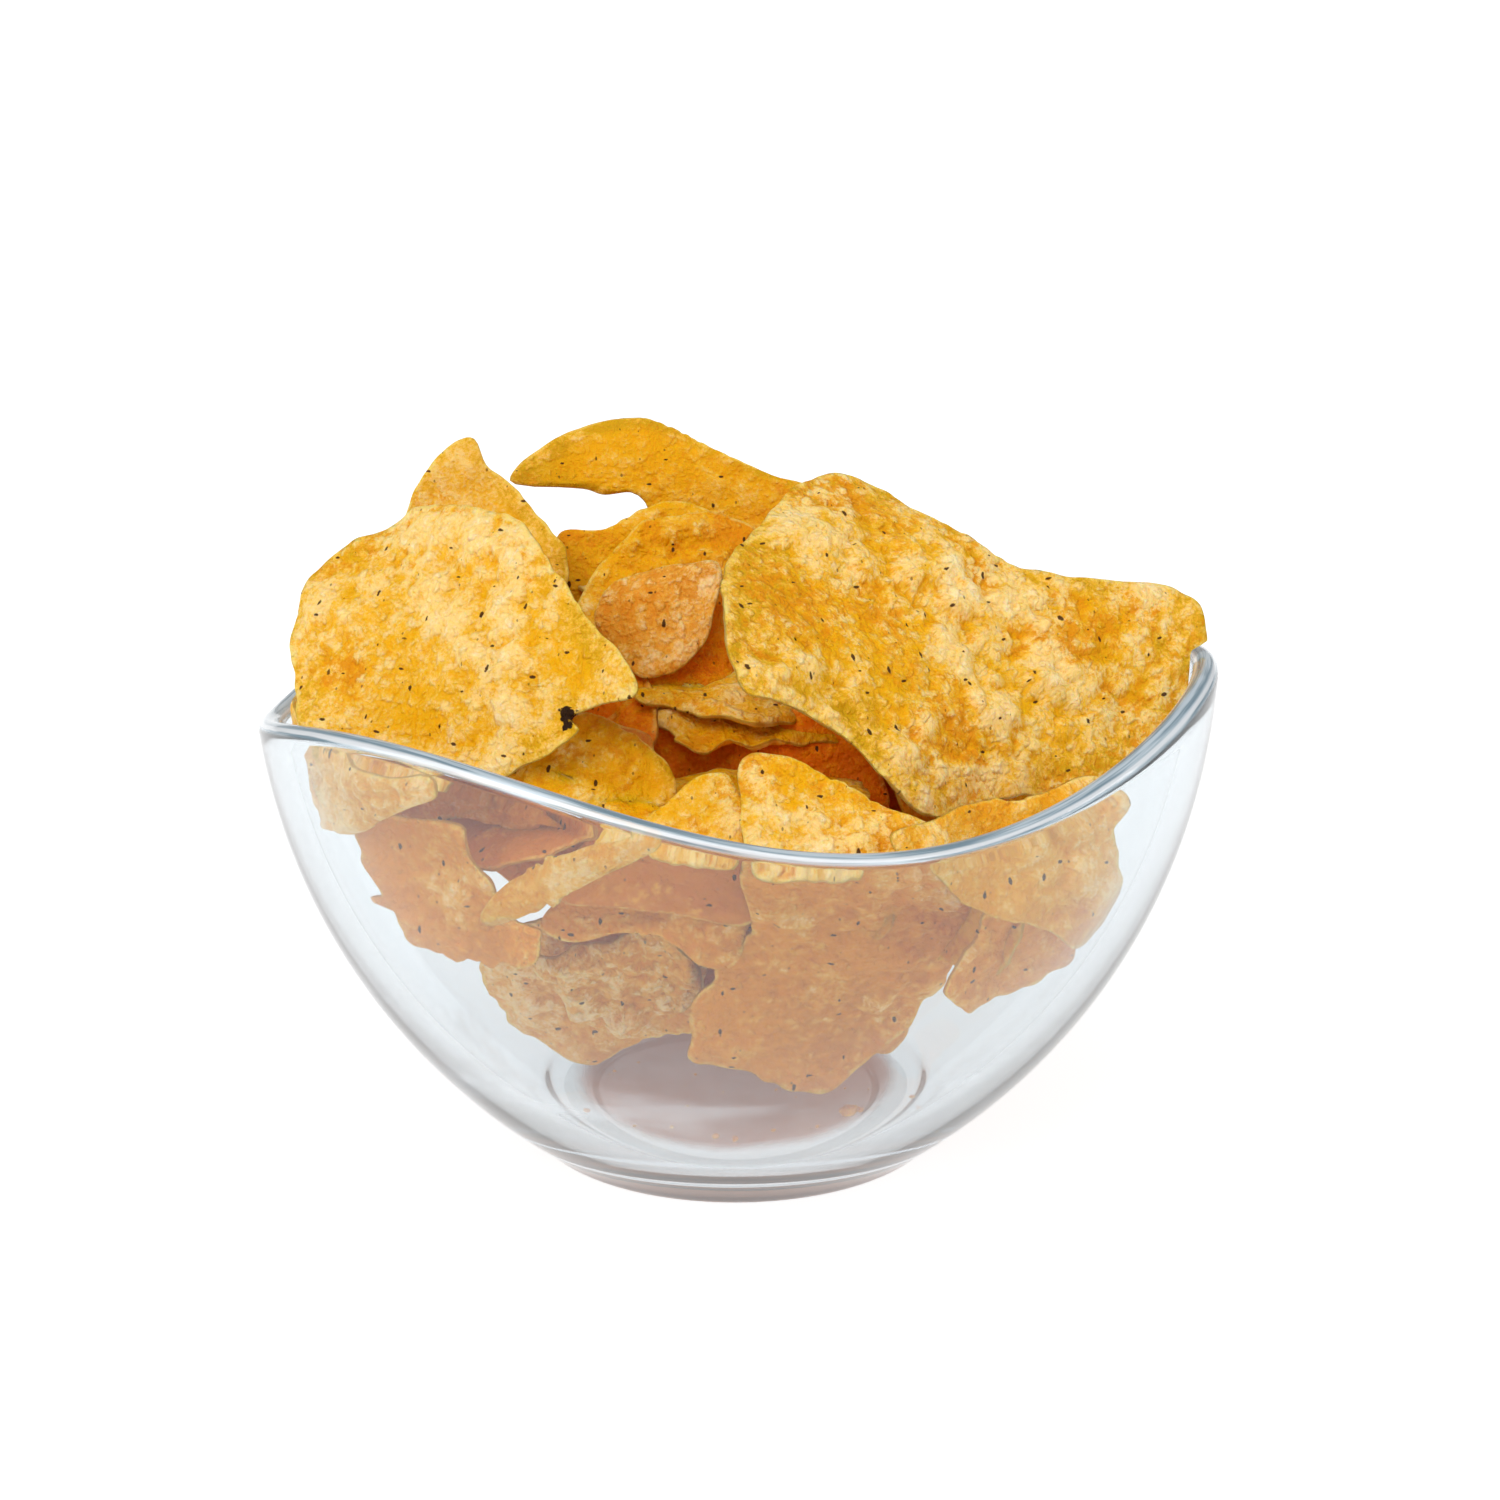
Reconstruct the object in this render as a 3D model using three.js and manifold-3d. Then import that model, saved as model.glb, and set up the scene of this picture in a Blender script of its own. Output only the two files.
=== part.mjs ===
// A bowl of crisps: a small clear glass bowl with a wavy rim, heaped with thick-cut potato crisps.
//
// Units are millimetres and +Z is up. The origin is on the bowl's axis, on the surface that the
// bowl stands on, and -Y is the front. The model has two closed bodies. The bowl is a turned
// glass wall whose rim rises and falls three times on its way round. The crisps are one heap:
// thin curled slices, each with its own outline, joined to a small core and to each other.

import * as THREE from 'three';
import { mergeVertices } from 'three/addons/utils/BufferGeometryUtils.js';
import Module from 'manifold-3d';

// ---- The bowl's driving dimensions ----

const OUTER_RADIUS = 74.9; // at the rim
const INNER_RADIUS = 70.9;
const WALL_TOP = 86; // the height at which both wall curves would reach their full radius
const OUTER_DEPTH = 99; // how far below WALL_TOP the outer curve would close on the axis
const INNER_DEPTH = 93;
const WALL_BELLY = 2.2; // the wall curve's two exponents
const WALL_SHARPNESS = 0.68;

const RIM_HEIGHT = 75.3; // the rim's middle height
const RIM_WAVE = 5.8; // it rises and falls by this much
const RIM_WAVES = 3;
const RIM_TURN = -10.3; // degrees from +X to one of the high points
const WAVE_START = 26; // the wall is truly round below this height

const FLOOR_HEIGHT = 7.2; // the inside of the base
const FLOOR_RADIUS = 27;
const FOOT_RADIUS = 29.2; // the flat ring that the bowl stands on
const FOOT_RING_INNER = 24.6;
const RECESS_DEPTH = 1.2; // inside the ring

const FOOT_EDGE = 2.5; // the rounded edge of the foot ends at this height
const FLOOR_EDGE = 8.2; // the fillet between the floor and the inner wall ends at this height

const BOWL_STEPS = 56;
const WALL_STEPS = 8;
const WALL_CROWDING = 1.3; // above 1, the wall's steps are closer together near the foot
const LIP_STEPS = 4;

// ---- The crisps' driving dimensions ----

const CRISP_THICKNESS = 1.6;
const CRISP_CLEARANCE = 0.55; // between the crisps and the glass
const BEND_SPAN = 30; // a crisp's bends are its sags at this distance from its middle
const RIPPLE_HEIGHT = 0.7; // the shallow waves that frying leaves in a slice
const RIPPLE_LENGTH = 34;
const EDGE_STEP = 10; // the length of a facet along a crisp's edge
const SMALL_CRISP = 30; // crisps narrower than this are one ring of facets, not two
const LIP_REACH = 3.2; // a crisp that clears the rim may lean this far over it

const PLAIN_STEP = 36; // degrees between the corners of a plain crisp
const UNEVENNESS = 0.065; // how far its corners stray from an oval

const CORE_CENTRE = [3, 6];
const CORE_PROFILE = [
  [0, 15], [9, 17], [17, 23], [21, 32], [25, 41], [31, 51], [36, 61], [34, 67], [22, 72], [0, 74],
];
const CORE_STEPS = 18;

// One row for each crisp that shows. `at` is its middle. `face` is where its face looks: degrees
// round from -Y towards +X, then degrees up. `bend` is its sag in two directions and the angle of
// the first; a sag towards the face is positive. `edge` holds the corners of its outline, seen
// from its face: degrees anticlockwise from its right, and the distance from its middle.
const SHOWN_CRISPS = [
  { name: 'left_front', at: [-44, -26, 85], face: [-30, 34], bend: [3, -4, 30],
    edge: [[0, 35], [30, 27], [60, 23], [85, 24], [120, 26], [155, 29], [185, 26], [215, 25],
      [240, 26], [255, 30], [290, 25], [325, 26], [345, 27], [355, 33]] },
  { name: 'left_back', at: [-41, 5, 93], face: [-12, 16], bend: [-6, 2, 60],
    edge: [[10, 15], [45, 12], [70, 13], [92, 19], [98, 20], [110, 18], [125, 16], [155, 14],
      [190, 13], [220, 15], [260, 16], [290, 17], [320, 17], [345, 16]] },
  { name: 'top_back', at: [-12, 26, 103], face: [10, 26], bend: [-5, 6, 95],
    edge: [[10, 11], [45, 8], [75, 8], [105, 9], [130, 11], [150, 15], [170, 21], [182, 25],
      [188, 21], [192, 14], [205, 8], [235, 6], [265, 8], [290, 13], [308, 23], [320, 32],
      [333, 34], [345, 28], [355, 18]] },
  { name: 'inner_back', at: [-14, 16, 89], face: [8, 30], bend: [-4, 2, 0],
    edge: [[15, 15], [40, 14], [65, 12], [105, 10], [135, 10], [155, 15], [180, 15], [210, 13],
      [245, 12], [300, 12], [335, 13]] },
  { name: 'inner_mid', at: [-7, 5, 89], face: [5, 35], bend: [-3, 3, 0],
    edge: [[15, 16], [45, 14], [80, 12], [125, 13], [190, 18], [210, 17], [250, 12], [305, 13],
      [345, 16]] },
  { name: 'small_round', at: [-11, -9, 87], face: [-12, 38], bend: [4, 2, 30],
    edge: [[15, 9], [50, 12], [110, 8], [165, 10], [210, 10], [260, 11], [300, 9], [335, 8]] },
  { name: 'right_front', at: [30, -20, 87], face: [34, 42], bend: [3, -5, 10],
    edge: [[0, 41], [5, 35], [12, 27], [20, 22], [45, 20], [65, 23], [80, 31], [100, 34],
      [120, 32], [140, 33], [160, 37], [185, 41], [195, 33], [215, 28], [235, 29], [255, 27],
      [285, 28], [310, 32], [335, 42], [350, 45]] },
  { name: 'shade_mid', at: [-8, -6, 84], face: [15, 38], bend: [-3, 3, 0],
    edge: [[30, 13], [70, 15], [120, 13], [185, 13], [230, 13], [265, 13], [305, 14], [345, 12]] },
  { name: 'shelf_top', at: [3, -12, 77], face: [10, 74], bend: [3, 2, 0],
    edge: [[0, 20], [40, 17], [90, 16], [140, 18], [180, 19], [220, 14], [270, 11], [320, 15]] },
  { name: 'shelf_low', at: [3, -18, 73], face: [4, 70], bend: [3, -3, 20],
    edge: [[0, 22], [40, 17], [90, 15], [140, 18], [185, 22], [225, 14], [270, 12], [320, 16]] },
  { name: 'shade_low', at: [16, -30, 70], face: [14, 34], bend: [-4, 3, 10],
    edge: [[0, 20], [50, 15], [95, 13], [140, 15], [180, 18], [225, 14], [270, 12], [320, 17]] },
  { name: 'olive', at: [-20, -46, 75], face: [6, 30], bend: [-4, 2, 0],
    edge: [[35, 8], [85, 7], [115, 7], [175, 12], [200, 12], [240, 8], [285, 7], [335, 12]] },
  { name: 'front_mid', at: [-9, -57, 69], face: [-4, 44], bend: [-4, 3, 150],
    edge: [[10, 15], [35, 13], [70, 9], [120, 8], [165, 10], [190, 17], [202, 28], [212, 27],
      [230, 10], [280, 7], [345, 14]] },
  { name: 'front_right', at: [14, -55, 69], face: [8, 42], bend: [-4, 3, 0],
    edge: [[5, 20], [50, 11], [100, 12], [140, 16], [180, 15], [205, 15], [240, 10], [290, 10],
      [335, 17]] },
  { name: 'right_low', at: [42, -45, 61], face: [36, 8], bend: [-5, 2, 90],
    edge: [[10, 15], [28, 18], [60, 11], [110, 12], [165, 25], [195, 14], [220, 10], [270, 11],
      [310, 18], [335, 18]] },
  { name: 'right_under', at: [37, -42, 48], face: [34, -12], bend: [4, 2, 0],
    edge: [[25, 12], [70, 9], [120, 15], [145, 19], [175, 15], [215, 11], [260, 11], [320, 15],
      [350, 19]] },
  { name: 'big_low', at: [15, -30, 41], face: [4, -28], bend: [5, -2, 80],
    edge: [[20, 22], [40, 25], [70, 31], [90, 33], [105, 30], [125, 27], [150, 17], [175, 14],
      [195, 20], [215, 26], [230, 29], [265, 28], [300, 23], [320, 20]] },
  { name: 'tiny_low', at: [24, 1, 17], face: [20, -10], bend: [2, 1, 0],
    edge: [[35, 6], [90, 7], [135, 7], [195, 5], [240, 6], [285, 8], [320, 6]] },
  { name: 'left_low', at: [-41, -37, 53], face: [-32, -6], bend: [6, 3, 20],
    edge: [[20, 8], [55, 10], [90, 12], [125, 14], [155, 17], [175, 15], [200, 13], [235, 12],
      [270, 11], [310, 13], [335, 17], [350, 26], [354, 27], [350, 18], [352, 11]] },
  { name: 'left_under', at: [-40, -31, 66], face: [-20, -20], bend: [3, -3, 0],
    edge: [[10, 21], [35, 13], [70, 8], [110, 7], [165, 14], [190, 24], [210, 15], [240, 6],
      [290, 6], [330, 10], [355, 26]] },
  { name: 'shade_front', at: [-9, -34, 56], face: [0, -12], bend: [4, 2, 0],
    edge: [[25, 13], [70, 10], [115, 10], [155, 13], [195, 16], [235, 10], [280, 9], [320, 14],
      [350, 15]] },
  { name: 'mid_low', at: [-12, -22, 41], face: [-8, -14], bend: [4, -2, 0],
    edge: [[10, 16], [40, 16], [80, 12], [120, 10], [150, 9], [172, 16], [182, 21], [200, 15],
      [225, 11], [260, 12], [290, 13], [320, 13]] },
  { name: 'floor_left', at: [-22, -11, 29], face: [-12, -28], bend: [5, 2, 60],
    edge: [[5, 19], [40, 19], [65, 16], [105, 14], [140, 17], [170, 19], [200, 18], [235, 22],
      [255, 21], [280, 18], [325, 17]] },
  { name: 'crumple', at: [-17, -16, 31], face: [-10, -24], bend: [5, -3, 0],
    edge: [[5, 12], [30, 12], [60, 9], [115, 9], [160, 13], [200, 11], [240, 11], [275, 10],
      [330, 9]] },
  { name: 'sliver', at: [20, -32, 50], face: [-40, 0], bend: [2, 1, 0],
    edge: [[20, 5], [70, 6], [140, 6], [190, 5], [235, 6], [270, 6], [320, 6]] },
];

// The crisps at the back, along the far wall and inside the heap, with plainer outlines. `half`
// is half of the crisp's width and half of its height.
const PLAIN_CRISPS = [
  { name: 'wall_right', at: [53, 25, 63], face: [114, -8], bend: [-7, -2, 0], half: [23, 18] },
  { name: 'wall_back_right', at: [38, 46, 64], face: [140, -10], bend: [-8, -2, 0], half: [26, 20] },
  { name: 'wall_back', at: [2, 59, 65], face: [178, -8], bend: [-8, -2, 0], half: [27, 19] },
  { name: 'wall_back_left', at: [-38, 45, 64], face: [220, -10], bend: [-8, -2, 0], half: [26, 20] },
  { name: 'wall_left', at: [-59, 8, 62], face: [262, -8], bend: [-7, -2, 0], half: [24, 17] },
  { name: 'over_right', at: [44, 26, 77], face: [150, 50], bend: [4, -5, 20], half: [26, 21] },
  { name: 'over_back', at: [10, 42, 78], face: [186, 42], bend: [-5, 4, 10], half: [28, 21] },
  { name: 'over_left', at: [-30, 36, 76], face: [214, 48], bend: [4, -4, 60], half: [26, 20] },
  { name: 'over_side', at: [-52, 6, 78], face: [248, 42], bend: [-4, 3, 0], half: [22, 17] },
  { name: 'under_top', at: [18, 14, 79], face: [30, 62], bend: [5, -3, 0], half: [27, 22] },
  { name: 'prop_left', at: [-42, -6, 84], face: [66, 14], bend: [3, 2, 0], half: [17, 13] },
  { name: 'prop_right', at: [36, -8, 69], face: [-62, 16], bend: [-3, 2, 0], half: [18, 12] },
  { name: 'low_right', at: [40, 12, 42], face: [108, -30], bend: [-5, -2, 0], half: [21, 17] },
  { name: 'low_back', at: [12, 34, 43], face: [168, -24], bend: [-6, -2, 0], half: [24, 18] },
  { name: 'low_left', at: [-44, 28, 58], face: [204, 6], bend: [-6, 2, 0], half: [18, 16] },
  { name: 'floor_right', at: [21, 4, 21], face: [60, -50], bend: [4, 2, 0], half: [18, 13] },
  { name: 'stand_front', at: [9, -14, 44], face: [78, 8], bend: [4, -2, 0], half: [18, 15] },
  { name: 'stand_left', at: [-16, -6, 38], face: [-72, 4], bend: [-3, 2, 0], half: [15, 13] },
  { name: 'stand_right', at: [33, -27, 52], face: [-58, 10], bend: [3, 3, 0], half: [18, 13] },
  { name: 'fill_front', at: [4, -40, 67], face: [0, 84], bend: [3, -2, 0], half: [25, 17] },
  { name: 'fill_front_left', at: [-34, -26, 66], face: [-40, 60], bend: [4, 2, 0], half: [23, 17] },
  { name: 'stand_low', at: [19, -9, 25], face: [84, -6], bend: [2, 2, 0], half: [15, 9] },
  { name: 'stand_behind', at: [8, 26, 46], face: [84, 0], bend: [3, -2, 0], half: [14, 13] },
  { name: 'back_top', at: [4, 33, 87], face: [174, 54], bend: [-4, 3, 0], half: [25, 18] },
  { name: 'back_left_top', at: [-37, 25, 85], face: [206, 56], bend: [4, -4, 0], half: [22, 17] },
  { name: 'back_right_top', at: [37, 17, 83], face: [152, 62], bend: [-5, 3, 0], half: [22, 17] },
  { name: 'side_right', at: [57, 5, 73], face: [104, 68], bend: [-3, -3, 0], half: [17, 14] },
  { name: 'mid_back', at: [-4, 20, 80], face: [168, 68], bend: [4, -2, 0], half: [22, 18] },
  { name: 'mid_left', at: [-33, 12, 73], face: [206, 70], bend: [-4, 3, 0], half: [22, 17] },
];

const degrees = THREE.MathUtils.degToRad;

// ---- The bowl ----

const wallCurve = (radius, depth, height) => {
  const fall = Math.min(Math.max((WALL_TOP - height) / depth, 0), 1);
  return radius * (1 - fall ** WALL_BELLY) ** WALL_SHARPNESS;
};
const outerWall = (height) => wallCurve(OUTER_RADIUS, OUTER_DEPTH, height);
const innerWall = (height) => wallCurve(INNER_RADIUS, INNER_DEPTH, height);
const rimWave = (angle) => RIM_WAVE * Math.cos(RIM_WAVES * (angle - degrees(RIM_TURN)));

// The bowl's section at the rim's middle height, from the axis underneath, out and up the outer
// wall, over the lip and down the inner wall to the axis. Each point keeps the wall that it is on.
function bowlSection() {
  const lipRadius = (OUTER_RADIUS - INNER_RADIUS) / 2;
  const lipHeight = RIM_HEIGHT - lipRadius;
  const wallHeight = (from, k) => THREE.MathUtils.lerp(from, lipHeight, (k / WALL_STEPS) ** WALL_CROWDING);
  const section = [
    { r: 0, z: RECESS_DEPTH },
    { r: FOOT_RING_INNER - RECESS_DEPTH, z: RECESS_DEPTH },
    { r: FOOT_RING_INNER, z: 0 },
    { r: FOOT_RADIUS, z: 0 },
    { r: THREE.MathUtils.lerp(FOOT_RADIUS, outerWall(FOOT_EDGE), 0.6), z: FOOT_EDGE / 4 },
  ];
  for (let k = 0; k <= WALL_STEPS; k++) {
    const z = wallHeight(FOOT_EDGE, k);
    section.push({ r: outerWall(z), z, wall: outerWall });
  }
  const lipMiddle = (outerWall(lipHeight) + innerWall(lipHeight)) / 2;
  const lipHalf = (outerWall(lipHeight) - innerWall(lipHeight)) / 2;
  for (let k = 1; k < LIP_STEPS; k++) {
    const turn = (Math.PI * k) / LIP_STEPS;
    const r = lipMiddle + lipHalf * Math.cos(turn);
    section.push({ r, z: lipHeight + lipRadius * Math.sin(turn), wall: outerWall });
  }
  for (let k = WALL_STEPS; k >= 0; k--) {
    const z = wallHeight(FLOOR_EDGE, k);
    section.push({ r: innerWall(z), z, wall: innerWall });
  }
  section.push({ r: FLOOR_RADIUS, z: FLOOR_HEIGHT });
  section.push({ r: 0, z: FLOOR_HEIGHT });
  return section;
}

// A turned bowl, then each point of its wall is carried up or down by the wave of the rim and put
// back on its own wall curve, so that the wall stays as thick.
function bowlGeometry() {
  const section = bowlSection();
  const points = section.map(({ r, z }) => new THREE.Vector2(r, z));
  const geometry = new THREE.LatheGeometry(points, BOWL_STEPS).rotateX(Math.PI / 2);
  const place = geometry.attributes.position;
  for (let k = 0; k < place.count; k++) {
    const { r, z, wall } = section[k % section.length];
    if (!wall || z <= WAVE_START) continue;
    const angle = Math.atan2(place.getY(k), place.getX(k));
    const share = (z - WAVE_START) / (RIM_HEIGHT - WAVE_START);
    const height = z + share * rimWave(angle);
    const reach = r + wall(height) - wall(z);
    place.setXYZ(k, reach * Math.cos(angle), reach * Math.sin(angle), height);
  }
  return geometry;
}

// ---- The crisps ----

// A crisp's own axes: right and up across its face, and out of its face.
function crispAxes([turn, tilt]) {
  const [a, e] = [degrees(turn), degrees(tilt)];
  const out = new THREE.Vector3(Math.sin(a) * Math.cos(e), -Math.cos(a) * Math.cos(e), Math.sin(e));
  const right = new THREE.Vector3(Math.cos(a), Math.sin(a), 0);
  return { right, up: out.clone().cross(right), out };
}

// How far a crisp's middle sheet stands out of its flat, at u to the right and v up.
function crispSag([first, second, angle], u, v) {
  const a = degrees(angle);
  const along = u * Math.cos(a) + v * Math.sin(a);
  const across = v * Math.cos(a) - u * Math.sin(a);
  const bend = (first * along ** 2 + second * across ** 2) / BEND_SPAN ** 2;
  const wave = (2 * Math.PI) / RIPPLE_LENGTH;
  return bend + RIPPLE_HEIGHT * Math.sin(wave * along + first) * Math.cos(wave * across + second);
}

// The corners of a plain crisp: an oval whose reach swells and shrinks a little on its way round.
function plainEdge([wide, high], number) {
  const corners = [];
  for (let angle = 0; angle < 360; angle += PLAIN_STEP) {
    const a = degrees(angle);
    const oval = 1 / Math.hypot(Math.cos(a) / wide, Math.sin(a) / high);
    const swell = Math.sin(2 * a + 2.4 * number) + Math.sin(3 * a + 1.7 * number);
    corners.push([angle, oval * (1 + UNEVENNESS * swell)]);
  }
  return corners;
}

// Keeps a point of a crisp's middle sheet inside the glass. Above the rim it may lean out over it.
function keepInside(point) {
  const angle = Math.atan2(point.y, point.x);
  const aboveRim = point.z - RIM_HEIGHT - rimWave(angle);
  const over = LIP_REACH * THREE.MathUtils.smoothstep(aboveRim, 0, 2);
  const reach = innerWall(point.z) - CRISP_CLEARANCE - CRISP_THICKNESS / 2 + over;
  const shrink = Math.min(1, reach / Math.hypot(point.x, point.y));
  const lowest = FLOOR_HEIGHT + CRISP_CLEARANCE + CRISP_THICKNESS / 2;
  return point.set(point.x * shrink, point.y * shrink, Math.max(point.z, lowest));
}

// A thin curled slice: rings of points on both of its faces, shrunk copies of its outline, with
// a band round the edge that joins the two faces.
function crispGeometry({ at, face, bend, edge, half }, number) {
  const corners = (edge ?? plainEdge(half, number)).map(([angle, reach]) => {
    const a = degrees(angle);
    return new THREE.Vector3(reach * Math.cos(a), reach * Math.sin(a), 0);
  });
  const outline = new THREE.CatmullRomCurve3(corners, true, 'centripetal');
  const count = Math.max(8, Math.round(outline.getLength() / EDGE_STEP));
  const rings = outline.getLength() / Math.PI < SMALL_CRISP ? 1 : 2;
  const steps = outline.getSpacedPoints(count).slice(0, count);
  const { right, up, out } = crispAxes(face);

  const place = [];
  const addPoint = (u, v, side) => {
    const point = new THREE.Vector3(...at).addScaledVector(right, u).addScaledVector(up, v);
    keepInside(point.addScaledVector(out, crispSag(bend, u, v)));
    point.addScaledVector(out, (side * CRISP_THICKNESS) / 2);
    place.push(point.x, point.y, point.z);
  };
  const index = [];
  const faceStart = (side) => (side > 0 ? 0 : 1 + rings * count);
  const ringPoint = (side, ring, k) => faceStart(side) + 1 + (ring - 1) * count + (k % count);
  const addTriangle = (side, a, b, c) => index.push(...(side > 0 ? [a, b, c] : [a, c, b]));

  for (const side of [1, -1]) {
    addPoint(0, 0, side);
    for (let ring = 1; ring <= rings; ring++) {
      for (const { x, y } of steps) addPoint((x * ring) / rings, (y * ring) / rings, side);
    }
    for (let k = 0; k < count; k++) {
      addTriangle(side, faceStart(side), ringPoint(side, 1, k), ringPoint(side, 1, k + 1));
      for (let ring = 1; ring < rings; ring++) {
        const inner = [ringPoint(side, ring, k), ringPoint(side, ring, k + 1)];
        const outer = [ringPoint(side, ring + 1, k), ringPoint(side, ring + 1, k + 1)];
        addTriangle(side, inner[0], outer[0], outer[1]);
        addTriangle(side, inner[0], outer[1], inner[1]);
      }
    }
  }
  for (let k = 0; k < count; k++) {
    const front = [ringPoint(1, rings, k), ringPoint(1, rings, k + 1)];
    const back = [ringPoint(-1, rings, k), ringPoint(-1, rings, k + 1)];
    index.push(front[0], back[0], back[1]);
    index.push(front[0], back[1], front[1]);
  }
  const geometry = new THREE.BufferGeometry();
  geometry.setAttribute('position', new THREE.Float32BufferAttribute(place, 3));
  return geometry.setIndex(index);
}

// The core under the crisps that show: a small lump, narrow near the floor of the bowl.
function coreGeometry() {
  const points = CORE_PROFILE.map(([r, z]) => new THREE.Vector2(r, z));
  const geometry = new THREE.LatheGeometry(points, CORE_STEPS).rotateX(Math.PI / 2);
  return geometry.translate(CORE_CENTRE[0], CORE_CENTRE[1], 0);
}

// ---- Joining ----

const wasm = await Module();
wasm.setup();

function toSolid(geometry) {
  const bare = geometry.clone();
  bare.deleteAttribute('normal');
  bare.deleteAttribute('uv');
  const merged = mergeVertices(bare, 1e-4);
  const vertProperties = new Float32Array(merged.attributes.position.array);
  const triVerts = new Uint32Array(merged.index.array);
  return new wasm.Manifold(new wasm.Mesh({ numProp: 3, vertProperties, triVerts }));
}

function toGeometry(solid) {
  const { vertProperties, triVerts } = solid.getMesh();
  const geometry = new THREE.BufferGeometry();
  geometry.setAttribute('position', new THREE.Float32BufferAttribute(vertProperties, 3));
  geometry.setIndex(new THREE.Uint32BufferAttribute(triVerts, 1));
  return geometry;
}

// Joins the crisps to the core. What touches nothing is dropped, and sealed hollows are filled.
function heapGeometry() {
  let heap = toSolid(coreGeometry());
  [...SHOWN_CRISPS, ...PLAIN_CRISPS].forEach((crisp, number) => {
    heap = heap.add(toSolid(crispGeometry(crisp, number)));
  });
  const shells = heap.decompose();
  const isHollow = (shell) => shell.volume() < 0;
  const bodies = shells.filter((shell) => !isHollow(shell)).sort((a, b) => b.volume() - a.volume());
  return toGeometry(bodies[0]);
}

// ---- The model ----

const clearGlass = new THREE.MeshStandardMaterial({
  name: 'clear_glass', color: 0xdfe9f0, roughness: 0.05, metalness: 0, transparent: true, opacity: 0.35,
});
const friedPotato = new THREE.MeshStandardMaterial({
  name: 'fried_potato', color: 0xe0a93c, roughness: 0.6, metalness: 0, flatShading: true,
});

function namedMesh(name, geometry, material) {
  const mesh = new THREE.Mesh(geometry, material);
  mesh.name = name;
  return mesh;
}

const group = new THREE.Group();
group.add(namedMesh('bowl', bowlGeometry(), clearGlass));
group.add(namedMesh('crisps', heapGeometry(), friedPotato));

export default group;
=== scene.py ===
# A bowl of crisps: the looks of a clear glass bowl with a wavy rim and of its heap of thick-cut
# potato crisps.
#
# Sizes are written in millimetres and made into metres by MM as each shape is made. +Z is up,
# the bowl stands on z = 0 with its axis at the origin, and -Y is the front.

import random
from math import asin, atan2, cos, hypot, pi, radians, sin

import bmesh
import bpy
from mathutils import Matrix, Vector, noise
from mathutils.geometry import interpolate_bezier


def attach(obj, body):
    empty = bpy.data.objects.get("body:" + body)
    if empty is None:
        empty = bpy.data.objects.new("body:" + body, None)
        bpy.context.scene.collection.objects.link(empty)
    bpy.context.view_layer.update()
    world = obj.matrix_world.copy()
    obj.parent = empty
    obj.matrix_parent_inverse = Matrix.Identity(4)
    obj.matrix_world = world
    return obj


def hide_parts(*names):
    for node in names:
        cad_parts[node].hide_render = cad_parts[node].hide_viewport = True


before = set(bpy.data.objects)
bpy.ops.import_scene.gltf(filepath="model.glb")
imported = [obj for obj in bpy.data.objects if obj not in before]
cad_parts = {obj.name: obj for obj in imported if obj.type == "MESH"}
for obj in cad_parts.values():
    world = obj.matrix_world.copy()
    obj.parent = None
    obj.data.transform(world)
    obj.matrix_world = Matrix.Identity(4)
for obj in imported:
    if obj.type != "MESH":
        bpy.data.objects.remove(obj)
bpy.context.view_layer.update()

MM = 0.001

# ---- The bowl's sizes ----

OUTER_RADIUS = 74.9  # at the rim
INNER_RADIUS = 70.9
WALL_TOP = 86  # the height at which both wall curves would reach their full radius
OUTER_DEPTH = 99  # how far below WALL_TOP the outer curve would close on the axis
INNER_DEPTH = 93
WALL_BELLY = 2.2  # the wall curve's two exponents
WALL_SHARPNESS = 0.68

RIM_HEIGHT = 75.3  # the rim's middle height
RIM_WAVE = 5.8  # it rises and falls by this much
RIM_WAVES = 3
RIM_TURN = -10.3  # degrees from +X to one of the high points
WAVE_START = 26  # the wall is truly round below this height

FLOOR_HEIGHT = 7.2  # the inside of the base
FLOOR_RADIUS = 27
FOOT_RADIUS = 29.2  # the flat ring that the bowl stands on
FOOT_RING_INNER = 24.6
RECESS_DEPTH = 1.2  # inside the ring
RECESS_SLOPE = 2.4  # the width of the slope between the recess and the ring
FOOT_EDGE = 2.5  # the rounded edge of the foot ends at this height
FLOOR_EDGE = 8.2  # the fillet between the floor and the inner wall ends at this height

# How far the section's smooth corners bend: along it, or along and up.
RECESS_BEND = 1.4
RING_BEND = 1.2
FOOT_BEND = 2.6
FOOT_EDGE_BEND = (1.2, 1.1)
FLOOR_EDGE_BEND = (1.3, 0.9)
FLOOR_BEND = 3

BOWL_STEPS = 240
WALL_STEPS = 44
LIP_STEPS = 14
CURVE_STEPS = 8
MERGE_DISTANCE = 0.001  # points of the bowl that are nearer than this are made one
FLOOR_SLACK = 0.3  # how far from the floor's height a point still counts as the floor's
FLOOR_MARGIN = 1  # and from its radius

# ---- The crisps' sizes ----

BEND_SPAN = 30  # a crisp's bends are its sags at this distance from its middle
RIPPLE_HEIGHT = 0.7  # the shallow waves that frying leaves in a slice
RIPPLE_LENGTH = 34
HALF_THICKNESS = 0.5  # of a crisp, away from its edge and its blisters
EDGE_THINNING = 0.7  # the share of it that is gone at the very edge
CRISP_CLEARANCE = 0.4  # between the crisps and the glass
LIP_REACH = 3.2  # a crisp that clears the rim may lean this far over it
LEAN_HEIGHT = 2  # and does so in full at this height above it
HEAP_HEIGHT = 110.7  # no crisp reaches higher

PLAIN_STEP = 36  # degrees between the corners of a plain crisp
PLAIN_SWELLS = ((2, 2.4), (3, 1.7))  # its waves, and how far each crisp turns them
UNEVENNESS = 0.065  # how far its corners stray from an oval

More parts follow.
